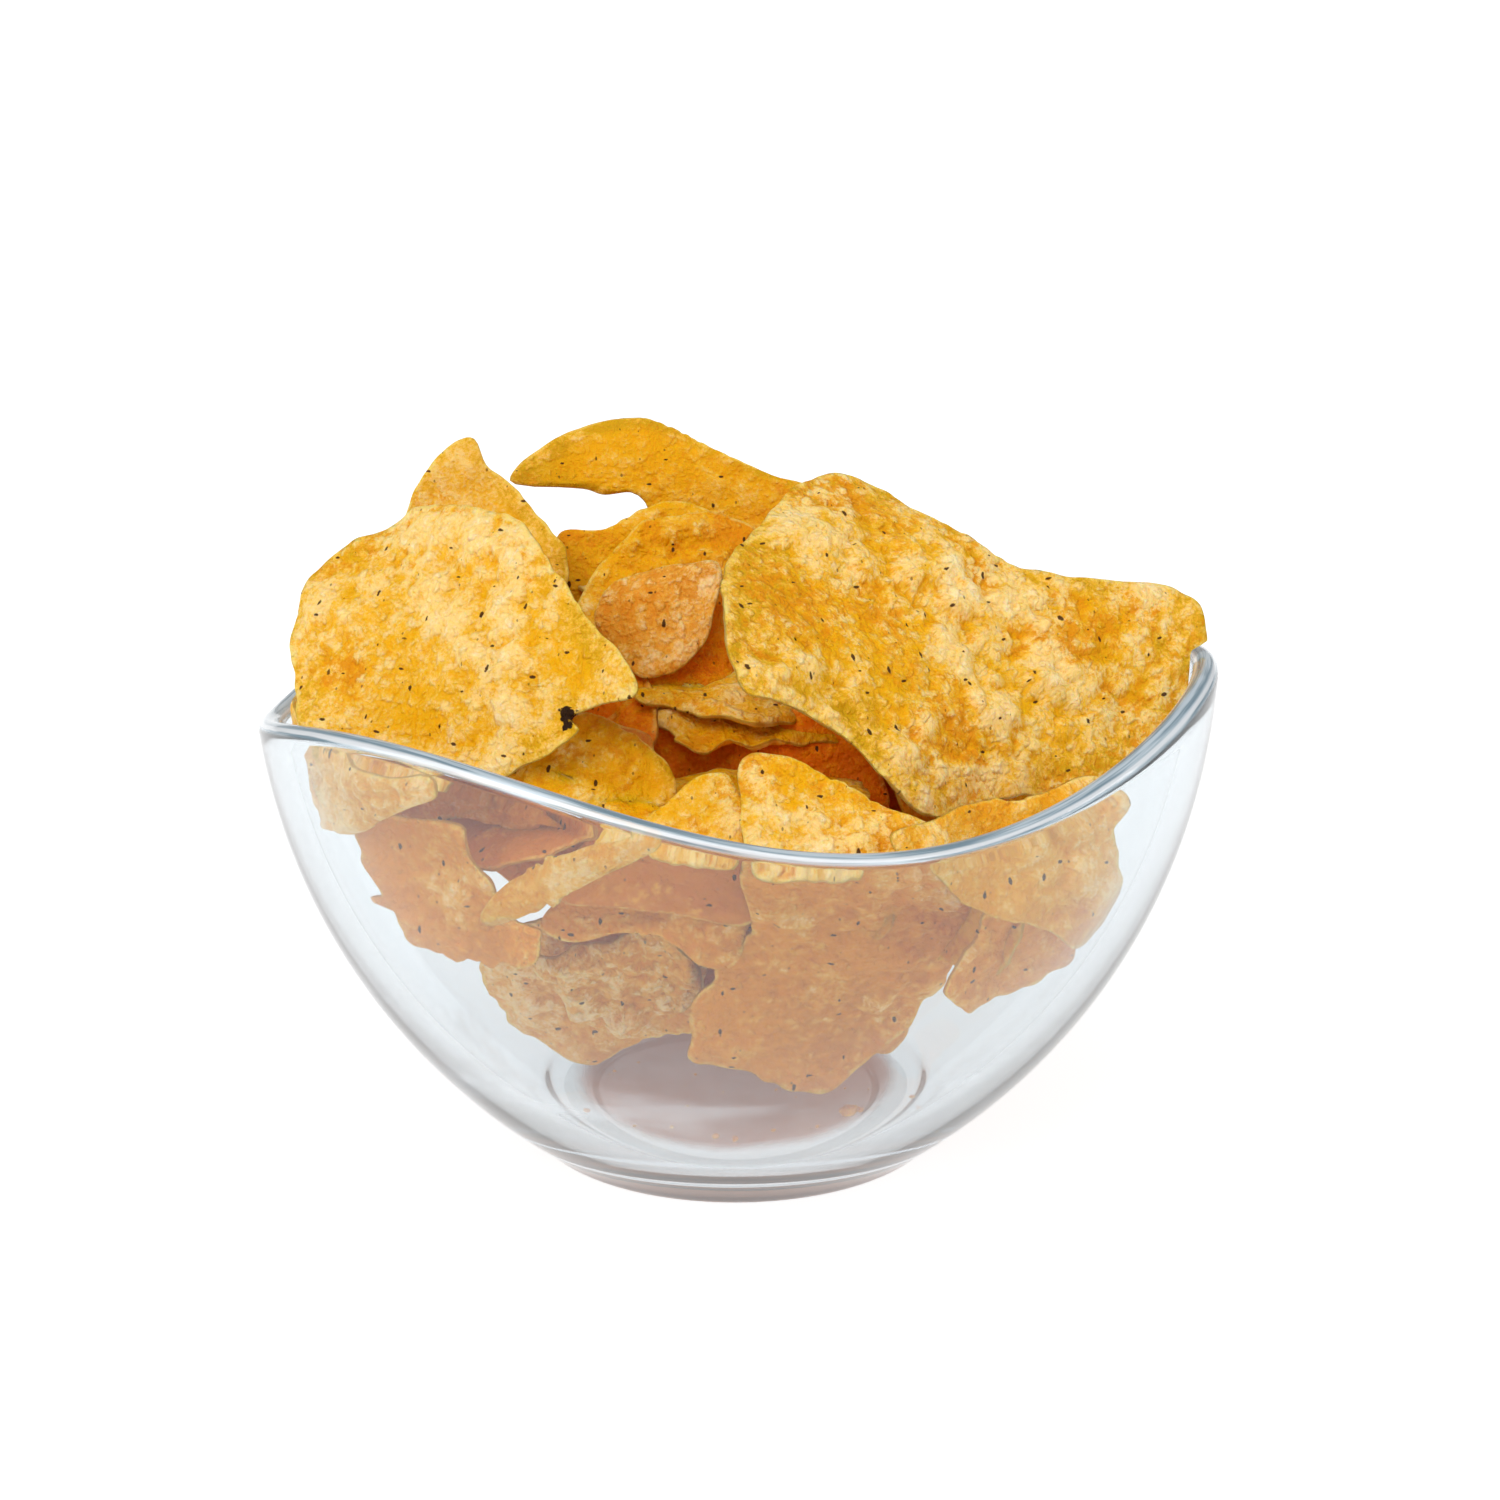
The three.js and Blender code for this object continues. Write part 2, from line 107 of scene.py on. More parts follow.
SHOWN_PITCH = 0.56  # the size of a face on a crisp that shows
PLAIN_PITCH = 0.95  # and on the others

# What a crisp's surface is like: how toasted it is (from a half up, also the painted shade colour
# of crisps lying in the heap's shade), how pale and creamy its blisters are, how far the raw olive
# yellow shows (below 0, how tan the skin is), and how rough with blisters.
LIGHT = (0.25, 0.55, 0.15, 1.0)
GOLDEN = (0.45, 0.35, 0.1, 0.7)
# Crisps in the heap's shade: a painted shade tone, deep orange, brightened for the light glowing
# through them.
TOASTED_IN_SHADE = (0.85, 0.1, 0.1, 0.7)
TAN = (0.45, 0.5, -0.5, 0.8)
GREEN = (0.3, 0.35, 0.5, 0.7)
CREAM = (0.3, 0.75, 0.0, 1.3)

# One row for each crisp that shows: its middle, where its face looks (degrees round from -Y
# towards +X, then degrees up), its bends (two sags and the angle of the first), its surface,
# and its outline's corners, seen from its face: degrees anticlockwise from its right, and the
# distance from its middle.
SHOWN_CRISPS = {
    "left_front": ((-44, -26, 85), (-30, 34), (3, -1.5, 30), (0.3, 0.68, 0.5, 1.0), (
        (0, 36.5), (4, 35), (9, 32.5), (16, 28), (35, 23.5), (67, 24), (74, 24.5), (112, 26.5),
        (125, 27.5), (148, 28.6), (158, 28.8), (169, 27.5), (181, 26), (192, 24.5),
        (205, 23.5), (225, 22.5), (245, 20.5), (259, 19.5), (281, 19.5), (299, 21),
        (312, 22.5), (322, 22.5), (336, 25.5), (345, 28), (347, 28), (348, 26), (350, 26),
        (355, 30), (358, 36))),
    "left_rim": ((-57.2, -33, 66), (-60, -12), (-6.8, -1, 0), (0.4, 0.8, -0.3, 0.9), (
        (4, 14), (11, 20.5), (14, 26), (18, 26.5), (26, 19), (50, 11), (90, 8), (155, 16),
        (172, 38), (176, 38), (180, 30), (184, 14), (211, 14.7), (219, 10.3), (246, 5.7),
        (300, 5), (339, 7.5))),
    "left_back": ((-41, 8.8, 91.8), (-12, 16), (-6, 2, 60), (0.1, 0.8, 0.6, 0.3), (
        (9, 15), (24, 13.5), (47, 12.5), (77, 14), (88, 15.5), (95, 19.5), (101, 19.5),
        (110, 18.5), (126, 16), (156, 13.5), (189, 13), (222, 14.5), (258, 16), (288, 17),
        (319, 17.5), (347, 16))),
    "top_back": ((-12, 26, 102.4), (10, 26), (-5, 6, 95), (0.2, 0.45, 0.6, 0.5), (
        (103, 9.5), (130, 12), (146, 14.5), (163, 18.5), (176, 23), (183, 25), (190, 13),
        (199, 10), (214, 6), (239, 6), (265, 10), (288, 17), (304, 24), (316, 30),
        (328, 34.5), (340, 31), (351, 24), (356, 17.5))),
    "inner_back": ((-14, 16, 89), (8, 30), (-4, 2, 0), (0.45, 0.35, 0.2, 0.65), (
        (16, 14), (39, 14), (67, 12), (85, 10.5), (136, 10), (153, 15), (181, 15), (207, 13.5),
        (243, 11), (301, 12), (336, 13.5))),
    "inner_mid": ((-7, 5, 89), (5, 35), (-3, 3, 0), (0.55, 0.35, 0.0, 0.8), (
        (16, 15.5), (46, 14), (79, 12.5), (96, 12), (126, 13), (141, 13), (191, 18.5),
        (210, 17), (244, 12), (303, 13), (345, 16))),
    "small_round": ((-11, -9, 87), (-12, 38), (4, 2, 30), (0.3, 0.9, -0.5, 1.0), (
        (22, 9), (43, 11.5), (56, 12.5), (74, 10.5), (140, 10), (162, 11), (177, 11),
        (199, 9.5), (255, 10), (266, 9.5), (299, 8), (338, 7.5))),
    "right_front": ((30, -20, 87), (34, 42), (3, -5, 10), (0.4, 0.6, 0.65, 1.2), (
        (3, 36.5), (8, 29), (15, 24.5), (49, 21), (70, 25), (74, 27.5), (84, 31.5), (89, 33),
        (99, 33), (111, 32), (136, 32), (140, 33), (147, 34), (162, 36), (169, 37), (181, 39),
        (185, 39.5), (188, 39), (190, 36), (198, 30), (212, 26.5), (225, 28), (237, 29.5),
        (244, 29.5), (248, 29), (259, 26), (288, 27.5), (299, 31.5), (309, 35.5), (320, 39.5),
        (331, 43.5), (338, 45), (346, 46), (353, 46), (359, 43))),
    "shade_mid": ((-8, -6, 84), (15, 38), (-3, 3, 0), (0.75, 0.25, 0.0, 0.7), (
        (29, 12), (71, 12), (121, 11), (186, 13), (231, 13.5), (265, 13.5), (304, 14),
        (344, 11.5))),
    "shelf_top": ((3, -12, 77), (10, 74), (3, 2, 0), (0.4, 0.6, 0.0, 0.8), (
        (73, 7), (119, 8.5), (148, 12.5), (173, 17.5), (183, 19), (191, 18.5), (194, 15.5),
        (201, 13.5), (221, 12), (234, 10.5), (255, 11.5), (267, 11), (290, 11), (318, 11.5),
        (356, 7))),
    "shelf_low": ((3, -18, 73), (4, 70), (3, -3, 20), (0.45, 0.5, 0.0, 0.8), (
        (5, 17.5), (25, 13), (81, 9), (132, 13.5), (158, 18.5), (173, 18), (184, 13),
        (201, 12.5), (219, 10), (227, 7), (264, 5.5), (325, 8), (341, 15), (349, 20))),
    "shade_low": ((9.9, -16.6, 63.9), (10, 34), (-4, 3, 10), TOASTED_IN_SHADE, (
        (9, 18), (30, 13.5), (64, 9), (122, 10), (159, 21.5), (168, 23), (180, 20), (200, 12),
        (264, 7), (317, 13.5), (336, 21.5), (350, 22))),
    "olive": ((-20, -38, 72.6), (-4, 30), (-4, 2, 0), (0.45, 0.35, 0.5, 0.6), (
        (30, 8), (86, 7.5), (105, 8.5), (168, 12), (181, 13.5), (200, 12), (240, 9), (302, 8),
        (321, 10.5), (333, 12), (343, 12), (354, 11.5))),
    "front_mid": ((-9, -54.1, 68.1), (-4, 44), (-4, 3, 150), (0.3, 0.7, 0.1, 0.8), (
        (10, 11.5), (32, 11.5), (50, 11.5), (65, 9), (91, 5.5), (164, 4.5), (188, 10),
        (202, 10.5), (219, 5.5), (323, 8.5), (338, 11.5))),
    "front_right": ((14, -55.8, 69.2), (8, 42), (-4, 3, 0), (0.35, 0.65, 0.1, 1.0), (
        (3, 12), (8, 10), (122, 13.5), (130, 15.5), (141, 16), (156, 14), (185, 13),
        (210, 12.5), (238, 9), (339, 15), (354, 16.5))),
    "right_low": ((42, -45, 61), (36, 8), (-5, 2, 90), (0.35, 0.6, -0.25, 0.8), (
        (10, 15), (17, 19.5), (31, 18), (75, 9), (130, 12.5), (152, 18), (162, 26), (169, 23.5),
        (174, 18.5), (188, 14.5), (205, 11.5), (284, 11), (299, 16), (318, 18.5), (327, 18.5),
        (336, 18), (354, 15))),
    "right_under": ((37, -42, 48), (34, -12), (4, 2, 0), TAN, (
        (6, 11.5), (63, 7), (107, 8), (167, 3.5), (221, 10.5), (258, 11), (292, 11.5),
        (319, 13.5), (339, 15.5), (348, 15.5))),
    "big_low": ((15, -30, 41), (4, -28), (5, -2, 80), (0.45, 0.35, -0.45, 1.0), (
        (19, 22), (35, 24), (60, 28), (86, 27.5), (107, 26.5), (126, 24.5), (139, 18),
        (150, 14.5), (169, 13.5), (185, 17), (198, 19.5), (206, 24), (216, 26.5), (223, 30),
        (229, 29.5), (240, 27.5), (254, 27.5), (265, 28), (275, 27), (282, 24.5), (293, 22.5),
        (308, 20.5), (327, 19), (356, 19.5))),
    "tiny_low": ((24, 1, 17), (20, -10), (2, 1, 0), TAN, (
        (4, 5), (40, 6.5), (88, 7.5), (131, 7), (187, 4.5), (253, 5.5), (286, 7.5), (315, 6))),
    "left_low": ((-40.5, -37.2, 49), (-30, -10), (5, 3, 20), (0.45, 0.4, -0.5, 0.9), (
        (0, 15), (5, 16), (12, 10.5), (33, 10), (46, 12), (67, 14), (72, 18.5), (117, 18),
        (135, 19.5), (144, 17), (150, 16.5), (165, 12), (168, 14), (173, 13.5), (176, 10.5),
        (210, 9), (281, 7.5), (326, 10), (350, 15))),
    "left_under": ((-32.8, -33.9, 66.2), (-20, -20), (3, -3, 0), (0.4, 0.6, -0.5, 0.7), (
        (2, 19), (17, 14), (61, 8), (140, 11.5), (167, 17), (182, 19), (195, 19.5), (208, 8),
        (275, 6), (323, 6), (342, 10), (348, 15.5), (354, 21))),
    "shade_front": ((-9, -34, 56), (0, -12), (4, 2, 0), (0.75, 0.3, -0.5, 0.7), (
        (23, 12.5), (64, 9), (119, 10), (155, 13.5), (196, 17), (209, 12.5), (232, 8.5),
        (317, 14.5), (345, 14.5))),
    "mid_low": ((-12, -28.7, 48.3), (-8, 2), (4, -2, 0), (0.4, 0.6, -0.5, 0.9), (
        (6, 14), (20, 12.5), (82, 5.5), (162, 10.5), (194, 18.5), (206, 16), (230, 6),
        (272, 4.5), (302, 7), (307, 11), (318, 14), (331, 15), (347, 15))),
    "floor_left": ((-22, -10, 28.7), (-12, -28), (5, 2, 60), (0.4, 0.7, -0.5, 0.9), (
        (4, 18.5), (37, 21.5), (65, 19), (109, 15.5), (145, 17.5), (169, 19), (211, 19.5),
        (228, 20.5), (241, 21), (257, 20), (272, 17.5), (294, 15), (328, 17.5))),
    "crumple": ((-17.5, -19, 31.8), (-10, -24), (5, -3, 0), (0.4, 0.58, -0.5, 1.5), (
        (7, 13), (27, 13.5), (44, 14), (59, 13), (144, 11), (163, 14.5), (202, 10), (226, 10.5),
        (247, 11.5), (269, 10.5), (292, 9.5), (332, 10.5))),
    "sliver": ((20, -32, 50), (-40, 0), (2, 1, 0), TAN, (
        (21, 5), (69, 6), (142, 6.5), (193, 4), (237, 6.5), (270, 6), (317, 5.5))),
    "wing": ((-25.4, -62.2, 63.5), (-28, 6), (-3, 2, 35), (0.25, 0.7, -0.3, 0.8), (
        (17, 9), (22, 15), (26, 19), (30, 18.5), (36, 13.5), (48, 8.5), (77, 4.5), (163, 4),
        (201, 9.5), (212, 13), (217, 12.5), (222, 10.5), (348, 3.5))),
    "shade_left": ((-29.4, -25.3, 55.9), (-14, 10), (3, -2, 0), (0.75, 0.3, -0.5, 0.7), (
        (3, 11.5), (23, 11), (65, 7), (138, 9), (163, 11), (214, 7.5), (228, 7.5), (250, 6.5),
        (291, 5), (340, 8.5))),
}

# The crisps at the back, along the far wall and inside the heap, with plainer outlines: the
# middle, the facing, the bends, the surface, and half of the width and of the height.
PLAIN_CRISPS = {
    "wall_right": ((53, 25, 63), (114, -8), (-7, -2, 0), TAN, (23, 18)),
    "wall_back_right": ((38, 46, 64), (140, -10), (-8, -2, 0), GOLDEN, (26, 20)),
    "wall_back": ((2, 59, 65), (178, -8), (-8, -2, 0), LIGHT, (27, 19)),
    "wall_back_left": ((-38, 45, 64), (220, -10), (-8, -2, 0), TAN, (26, 20)),
    "wall_left": ((-59, 8, 62), (262, -8), (-7, -2, 0), GOLDEN, (24, 17)),
    "over_right": ((44, 26, 77), (150, 50), (4, -5, 20), LIGHT, (26, 21)),
    "over_back": ((10, 42, 78), (186, 42), (-5, 4, 10), GOLDEN, (28, 21)),
    "over_left": ((-30, 36, 76), (214, 48), (4, -4, 60), LIGHT, (26, 20)),
    "over_side": ((-52, 6, 78), (248, 42), (-4, 3, 0), GREEN, (22, 17)),
    "under_top": ((18, 14, 79), (30, 62), (5, -3, 0), GOLDEN, (27, 22)),
    "prop_left": ((-40, -2, 82), (66, 14), (3, 2, 0), GOLDEN, (14, 13)),
    "prop_right": ((36, -8, 69), (-62, 16), (-3, 2, 0), TOASTED_IN_SHADE, (18, 12)),
    "low_right": ((40, 12, 42), (108, -30), (-5, -2, 0), LIGHT, (21, 17)),
    "low_back": ((12, 34, 43), (168, -24), (-6, -2, 0), TAN, (24, 18)),
    "low_left": ((-44, 28, 58), (204, 6), (-6, 2, 0), GOLDEN, (18, 16)),
    "floor_right": ((21, 4, 21), (60, -50), (4, 2, 0), TAN, (18, 13)),
    "stand_front": ((9, -14, 44), (78, 8), (4, -2, 0), GOLDEN, (18, 15)),
    "stand_left": ((-15, -3, 37), (-72, 4), (-3, 2, 0), TAN, (12, 12)),
    "stand_right": ((33, -27, 52), (-58, 10), (3, 3, 0), GOLDEN, (18, 13)),
    "fill_front": ((1, -39, 66), (0, 84), (3, -2, 0), GOLDEN, (20, 16)),
    "fill_front_left": ((-32, -22, 65), (-40, 60), (4, 2, 0), (0.8, 0.2, -0.5, 0.6), (23, 17)),
    "stand_low": ((19, -9, 25), (84, -6), (2, 2, 0), TAN, (15, 9)),
    "stand_behind": ((8, 26, 46), (84, 0), (3, -2, 0), GOLDEN, (14, 13)),
    "back_top": ((4, 35, 85), (174, 54), (-4, 3, 0), LIGHT, (24, 14)),
    "back_left_top": ((-38, 28.5, 84.5), (206, 56), (4, -4, 0), GOLDEN, (22, 17)),
    "back_right_top": ((37, 17, 83), (152, 62), (-5, 3, 0), CREAM, (22, 17)),
    "side_right": ((57, 5, 73), (104, 68), (-3, -3, 0), GOLDEN, (17, 14)),
    "mid_back": ((-4, 20, 80), (168, 68), (4, -2, 0), LIGHT, (22, 18)),
    "mid_left": ((-33, 12, 73), (206, 70), (-4, 3, 0), GOLDEN, (22, 17)),
    "fill_right": ((34, -6, 64), (60, 24), (5, -3, 0), GOLDEN, (26, 21)),
    "fill_left": ((-30, -6, 66), (-60, 38), (-5, 3, 0), TOASTED_IN_SHADE, (25, 19)),
    "fill_mid": ((0, -20, 62), (-8, 12), (4, -3, 20), TOASTED_IN_SHADE, (25, 16)),
    "stand_back": ((-4, 20, 34), (190, -34), (5, -3, 30), TAN, (18, 15)),
    "core_low": ((4, 6, 27), (20, 66), (4, -3, 0), TAN, (17, 15)),
    "core_mid": ((6, 4, 40), (200, 60), (4, -4, 30), GOLDEN, (20, 18)),
    "core_turn": ((6, 8, 48), (100, 12), (3, -4, 0), GOLDEN, (20, 15)),
    "core_high": ((4, 6, 57), (-30, 66), (-4, 3, 0), TOASTED_IN_SHADE, (26, 22)),
    "core_top": ((12, 6, 68), (40, 58), (4, -3, 0), TOASTED_IN_SHADE, (24, 20)),
    "core_cross": ((0, 10, 62), (-60, 20), (-3, 3, 0), TOASTED_IN_SHADE, (20, 14)),
}

# How high the crimps along a crisp's edge stand, on those that have the deepest.
CRIMPS = {"shelf_top": 1.3, "shelf_low": 1.8, "wing": 1.0, "crumple": 2.2, "mid_low": 1.2,
          "front_right": 0.9, "small_round": 1.0, "shade_low": 0.9, "left_low": 0.9,
          "inner_mid": 0.9}
CRIMP_HEIGHT = 0.5  # on the others
CRIMP_LENGTH = 6.5

# How ragged the crisps with smoother edges are, against the others.
SMOOTH_EDGES = {"top_back": 0.3, "right_front": 0.45, "left_front": 0.5, "left_rim": 0.6,
                "left_back": 0.35, "olive": 0.6, "inner_back": 0.4, "inner_mid": 0.6,
                "front_right": 0.6, "small_round": 0.4, "right_low": 0.7}

# The pieces that the crisps make up.
GROUPS = {
    "crisps_left": ("left_front", "left_rim", "left_back", "prop_left", "over_side"),
    "crisps_right": ("right_front", "prop_right", "side_right"),
    "crisps_top": ("top_back", "inner_back", "inner_mid", "small_round", "shade_mid",
                   "shelf_top", "shelf_low", "shade_low"),
    "crisps_front": ("olive", "front_mid", "front_right", "fill_front", "fill_front_left",
                     "left_under", "shade_front", "left_low", "wing", "shade_left"),
    "crisps_low": ("right_low", "right_under", "big_low", "tiny_low", "mid_low", "floor_left",
                   "crumple", "sliver"),
    "crisps_back": ("over_right", "over_back", "over_left", "under_top", "back_top",
                    "back_left_top", "back_right_top", "mid_back", "mid_left"),
    "crisps_wall": ("wall_right", "wall_back_right", "wall_back", "wall_back_left",
                    "wall_left", "low_right", "low_back", "low_left"),
    "crisps_inside": ("floor_right", "stand_front", "stand_left", "stand_right", "stand_low",
                      "stand_behind", "fill_right", "fill_left", "fill_mid", "stand_back",
                      "core_low", "core_mid", "core_turn", "core_high", "core_top",
                      "core_cross"),
}

# Scorched spots: the crisp, the place on it (degrees and distance as above) and the radius.
SCORCHES = {
    "left_front": ((349.5, 25.2, 1.6), (346, 26, 1.1)),
}

# ---- How a crisp's mesh is made ----

OUTLINE_STEPS = 10  # points between two corners of an outline
LEAST_SQUARES = 12  # along a crisp's sheet, before it is drawn out to a disc
TINY = 1e-9  # keeps a division from failing

NOISE_SEED = 1  # so that the noise comes out the same each time
# The steps between the noise of one crisp and the next, of its two faces and of its crimps.
SEED_STEP = 11.3
FACE_SEED = 40
CRIMP_SEED = 3
# And the steps between their places in the patterns of their material.
SHEET_STEP = 150
SHEET_FACE = 20

# How far a crisp's edge strays from its smooth outline: over what length, and how far.
RAGGED = ((6.5, 1.0), (2.4, 0.6))
EDGE_SHARPNESS = 10  # how suddenly a crisp thins towards its edge
EDGE_SPREAD = 3  # how gradually the crimps and the ragged edge set in
EDGE_CALM = 0.8  # the share of the blisters' height that is gone at the very edge

# The blisters that frying raises: how far apart they are, how much of that a dome covers, and
# how high it stands.
BLISTERS = ((7.0, 0.62, 1.2), (4.0, 0.6, 0.7), (2.3, 0.6, 0.35))
BLISTER_SEED = 3.7  # the step between the noise of their sizes
BLISTER_STRAY = 0.25  # how far they stray from even spacing
STRAY_SCALE = 1.7
DOME_FULLNESS = 0.8
DOME_FALL = 0.15  # a smaller dome counts for this much less
BACK_BLISTERS = 0.6  # how high they stand on a crisp's back
# In calmer places, which are this far apart, only this share of their height is left.
CALM_LENGTH = 17
CALM_SEED = 5
CALM_RANGE = (-0.35, 0.25)
CALM_SHARE = 0.3

UNDULATION_LENGTH = 15.0
UNDULATION_HEIGHT = 1.0
CREASE_LENGTH = 4.0
CREASE_HEIGHT = 0.35
CREASE_SEED = 9
GRAIN_LENGTH = 1.3
GRAIN_HEIGHT = 0.08

# The core and the end of a scorched spot, against its radius.
SCORCH_CORE = 0.4
SCORCH_END = 1.3

# ---- The crumbs' sizes ----

# The larger crumbs on the floor of the bowl: where they lie and how large they are.
CRUMBS = ((18, -16, 1.6), (20, -15, 0.7), (29, -12, 0.6), (-24, -16, 0.6), (-3, -23, 0.6),
          (0, -24, 0.7), (13, -20, 0.4), (-10, -20, 0.4), (6, -21, 0.4), (-16, -20, 0.35))
SPECK_COUNT = 24
SPECK_REACH = 25
SPECK_SIZES = (0.1, 0.3)
CRUMB_SEED = 8
CRUMB_WIDTHS = (0.6, 1.0)  # against its length
CRUMB_HEIGHT = 0.6
CRUMB_RISE = 0.55  # how high its middle lies, against its size
CRUMB_GAP = 0.1
CRUMB_SWELL = 0.45  # how lumpy it is
CRUMB_LUMPS = 1.3
CRUMB_NOISE_PLACE = (7, 3)
CRUMB_BLISTER = 0.4


# ---- Shader nodes ----

def paint(red, green, blue):
    """A colour given as on a screen, 0 to 255, as the shaders take it."""
    def linear(part):
        share = part / 255
        return share / 12.92 if share < 0.04045 else ((share + 0.055) / 1.055) ** 2.4
    return (linear(red), linear(green), linear(blue), 1)


class Result:
    """What a node gives, for use in sums."""

    def __init__(self, tree, socket):
        self.tree = tree
        self.socket = socket

    def maths(self, operation, first, second):
        return self.tree.node("ShaderNodeMath", {"operation": operation}, {0: first, 1: second})

    def __add__(self, other):
        return self.maths("ADD", self, other)

    def __sub__(self, other):
        return self.maths("SUBTRACT", self, other)

    def __rsub__(self, other):
        return self.maths("SUBTRACT", other, self)

    def __mul__(self, other):
        return self.maths("MULTIPLY", self, other)

    __radd__ = __add__
    __rmul__ = __mul__


class Tree:
    """A node tree, such as a material's, that is filled by calls."""

    def __init__(self, owner):
        owner.use_nodes = True
        self.owner = owner
        self.tree = owner.node_tree
        self.tree.nodes.clear()

    def node(self, kind, settings=None, sockets=None, gives=0):
        """Adds a node: its settings, then the values or links of its sockets."""
        made = self.tree.nodes.new(kind)
        for name, value in (settings or {}).items():
            setattr(made, name, value)
        for name, value in (sockets or {}).items():
            if isinstance(value, Result):
                self.tree.links.new(value.socket, made.inputs[name])
            else:
                made.inputs[name].default_value = value
        return Result(self, made.outputs[gives]) if made.outputs else made

    def mix(self, share, first, second):
        sockets = {0: share, 6: first, 7: second}
        return self.node("ShaderNodeMix", {"data_type": "RGBA"}, sockets, 2)

    def fade(self, value, low, high):
        """0 below low, 1 above high and smooth between them."""
        sockets = {"Value": value, "From Min": low, "From Max": high}
        return self.node("ShaderNodeMapRange", {"interpolation_type": "SMOOTHSTEP"}, sockets)

    def clouds(self, place, size, detail=2.0, rough=0.5):
        """Soft noise from 0 to 1 whose lumps are about size apart."""
        sockets = {"Vector": place, "Scale": 1 / size, "Detail": detail, "Roughness": rough}
        return self.node("ShaderNodeTexNoise", {}, sockets)

    def cells(self, place, size, gives=0):
        """Flat cells about size apart: 0 gives the distance to a cell's middle, 1 its own draw."""
        sockets = {"Vector": place, "Scale": 1 / size}
        return self.node("ShaderNodeTexVoronoi", {"voronoi_dimensions": "2D"}, sockets, gives)

    def vector(self, operation, first, second):
        sockets = {0: first, 1: second}
        return self.node("ShaderNodeVectorMath", {"operation": operation}, sockets)

    def kept(self, name, gives):
        """A value that the mesh keeps at its points."""
        return self.node("ShaderNodeAttribute", {"attribute_name": name}, {}, gives)

    def part(self, vector, axis):
        return self.node("ShaderNodeSeparateXYZ", {}, {"Vector": vector}, axis)

    def surface(self, sockets):
        return self.node("ShaderNodeBsdfPrincipled", {}, sockets)

    def blend(self, share, first, second):
        """The first surface, with a share of the second."""
        return self.node("ShaderNodeMixShader", {}, {0: share, 1: first, 2: second})


# ---- The bowl ----

def wall_curve(radius, depth, height):
    fall = min(max((WALL_TOP - height) / depth, 0), 1)
    return radius * (1 - fall ** WALL_BELLY) ** WALL_SHARPNESS


def outer_wall(height):
    return wall_curve(OUTER_RADIUS, OUTER_DEPTH, height)


def inner_wall(height):
    return wall_curve(INNER_RADIUS, INNER_DEPTH, height)


def rim_wave(angle):
    return RIM_WAVE * cos(RIM_WAVES * (angle - radians(RIM_TURN)))


LIP_RADIUS = (OUTER_RADIUS - INNER_RADIUS) / 2
LIP_HEIGHT = RIM_HEIGHT - LIP_RADIUS


def curve(start, leave, arrive, end):
    """The points of a smooth corner between two points of the section."""
    knots = [Vector((r, z, 0)) for r, z in (start, leave, arrive, end)]
    return [(point.x, point.y) for point in interpolate_bezier(*knots, CURVE_STEPS)]


def wall_heights(start):
    return [start + (LIP_HEIGHT - start) * k / WALL_STEPS for k in range(1, WALL_STEPS)]


def bowl_section():
    """The bowl's section at the rim's middle height, from the axis underneath to the floor."""
    lip_middle = (outer_wall(LIP_HEIGHT) + inner_wall(LIP_HEIGHT)) / 2
    lip_half = (outer_wall(LIP_HEIGHT) - inner_wall(LIP_HEIGHT)) / 2
    recess_edge = FOOT_RING_INNER - RECESS_SLOPE
    foot = outer_wall(FOOT_EDGE)
    floor = inner_wall(FLOOR_EDGE)
    section = [(0, RECESS_DEPTH)]
    section += curve((recess_edge, RECESS_DEPTH), (recess_edge + RECESS_BEND, RECESS_DEPTH),
                     (FOOT_RING_INNER - RING_BEND, 0), (FOOT_RING_INNER, 0))
    section += curve((FOOT_RADIUS, 0), (FOOT_RADIUS + FOOT_BEND, 0),
                     (foot - FOOT_EDGE_BEND[0], FOOT_EDGE - FOOT_EDGE_BEND[1]),
                     (foot, FOOT_EDGE))
    section += [(outer_wall(z), z) for z in wall_heights(FOOT_EDGE)]
    for k in range(LIP_STEPS + 1):
        turn = pi * k / LIP_STEPS
        section.append((lip_middle + lip_half * cos(turn), LIP_HEIGHT + LIP_RADIUS * sin(turn)))
    section += [(inner_wall(z), z) for z in reversed(wall_heights(FLOOR_EDGE))]
    section += curve((floor, FLOOR_EDGE),
                     (floor - FLOOR_EDGE_BEND[0], FLOOR_EDGE - FLOOR_EDGE_BEND[1]),
                     (FLOOR_RADIUS + FLOOR_BEND, FLOOR_HEIGHT), (FLOOR_RADIUS, FLOOR_HEIGHT))
    section.append((0, FLOOR_HEIGHT))
    return section


def carry_rim(point):
    """Moves a point of the turned bowl up or down with the rim's wave, along its own wall."""
    x, y, z = point / MM
    if z <= WAVE_START:
        return point
    angle = atan2(y, x)
    reach = hypot(x, y)
    is_outer = z > LIP_HEIGHT or reach > (outer_wall(z) + inner_wall(z)) / 2
    wall = outer_wall if is_outer else inner_wall
    height = z + (z - WAVE_START) / (RIM_HEIGHT - WAVE_START) * rim_wave(angle)
    reach += wall(height) - wall(z)
    return Vector((reach * cos(angle), reach * sin(angle), height)) * MM


def is_floor(x, y, z):
    """Whether a point of the bowl is on the flat floor inside it."""
    return abs(z - FLOOR_HEIGHT) < FLOOR_SLACK and hypot(x, y) < FLOOR_RADIUS + FLOOR_MARGIN


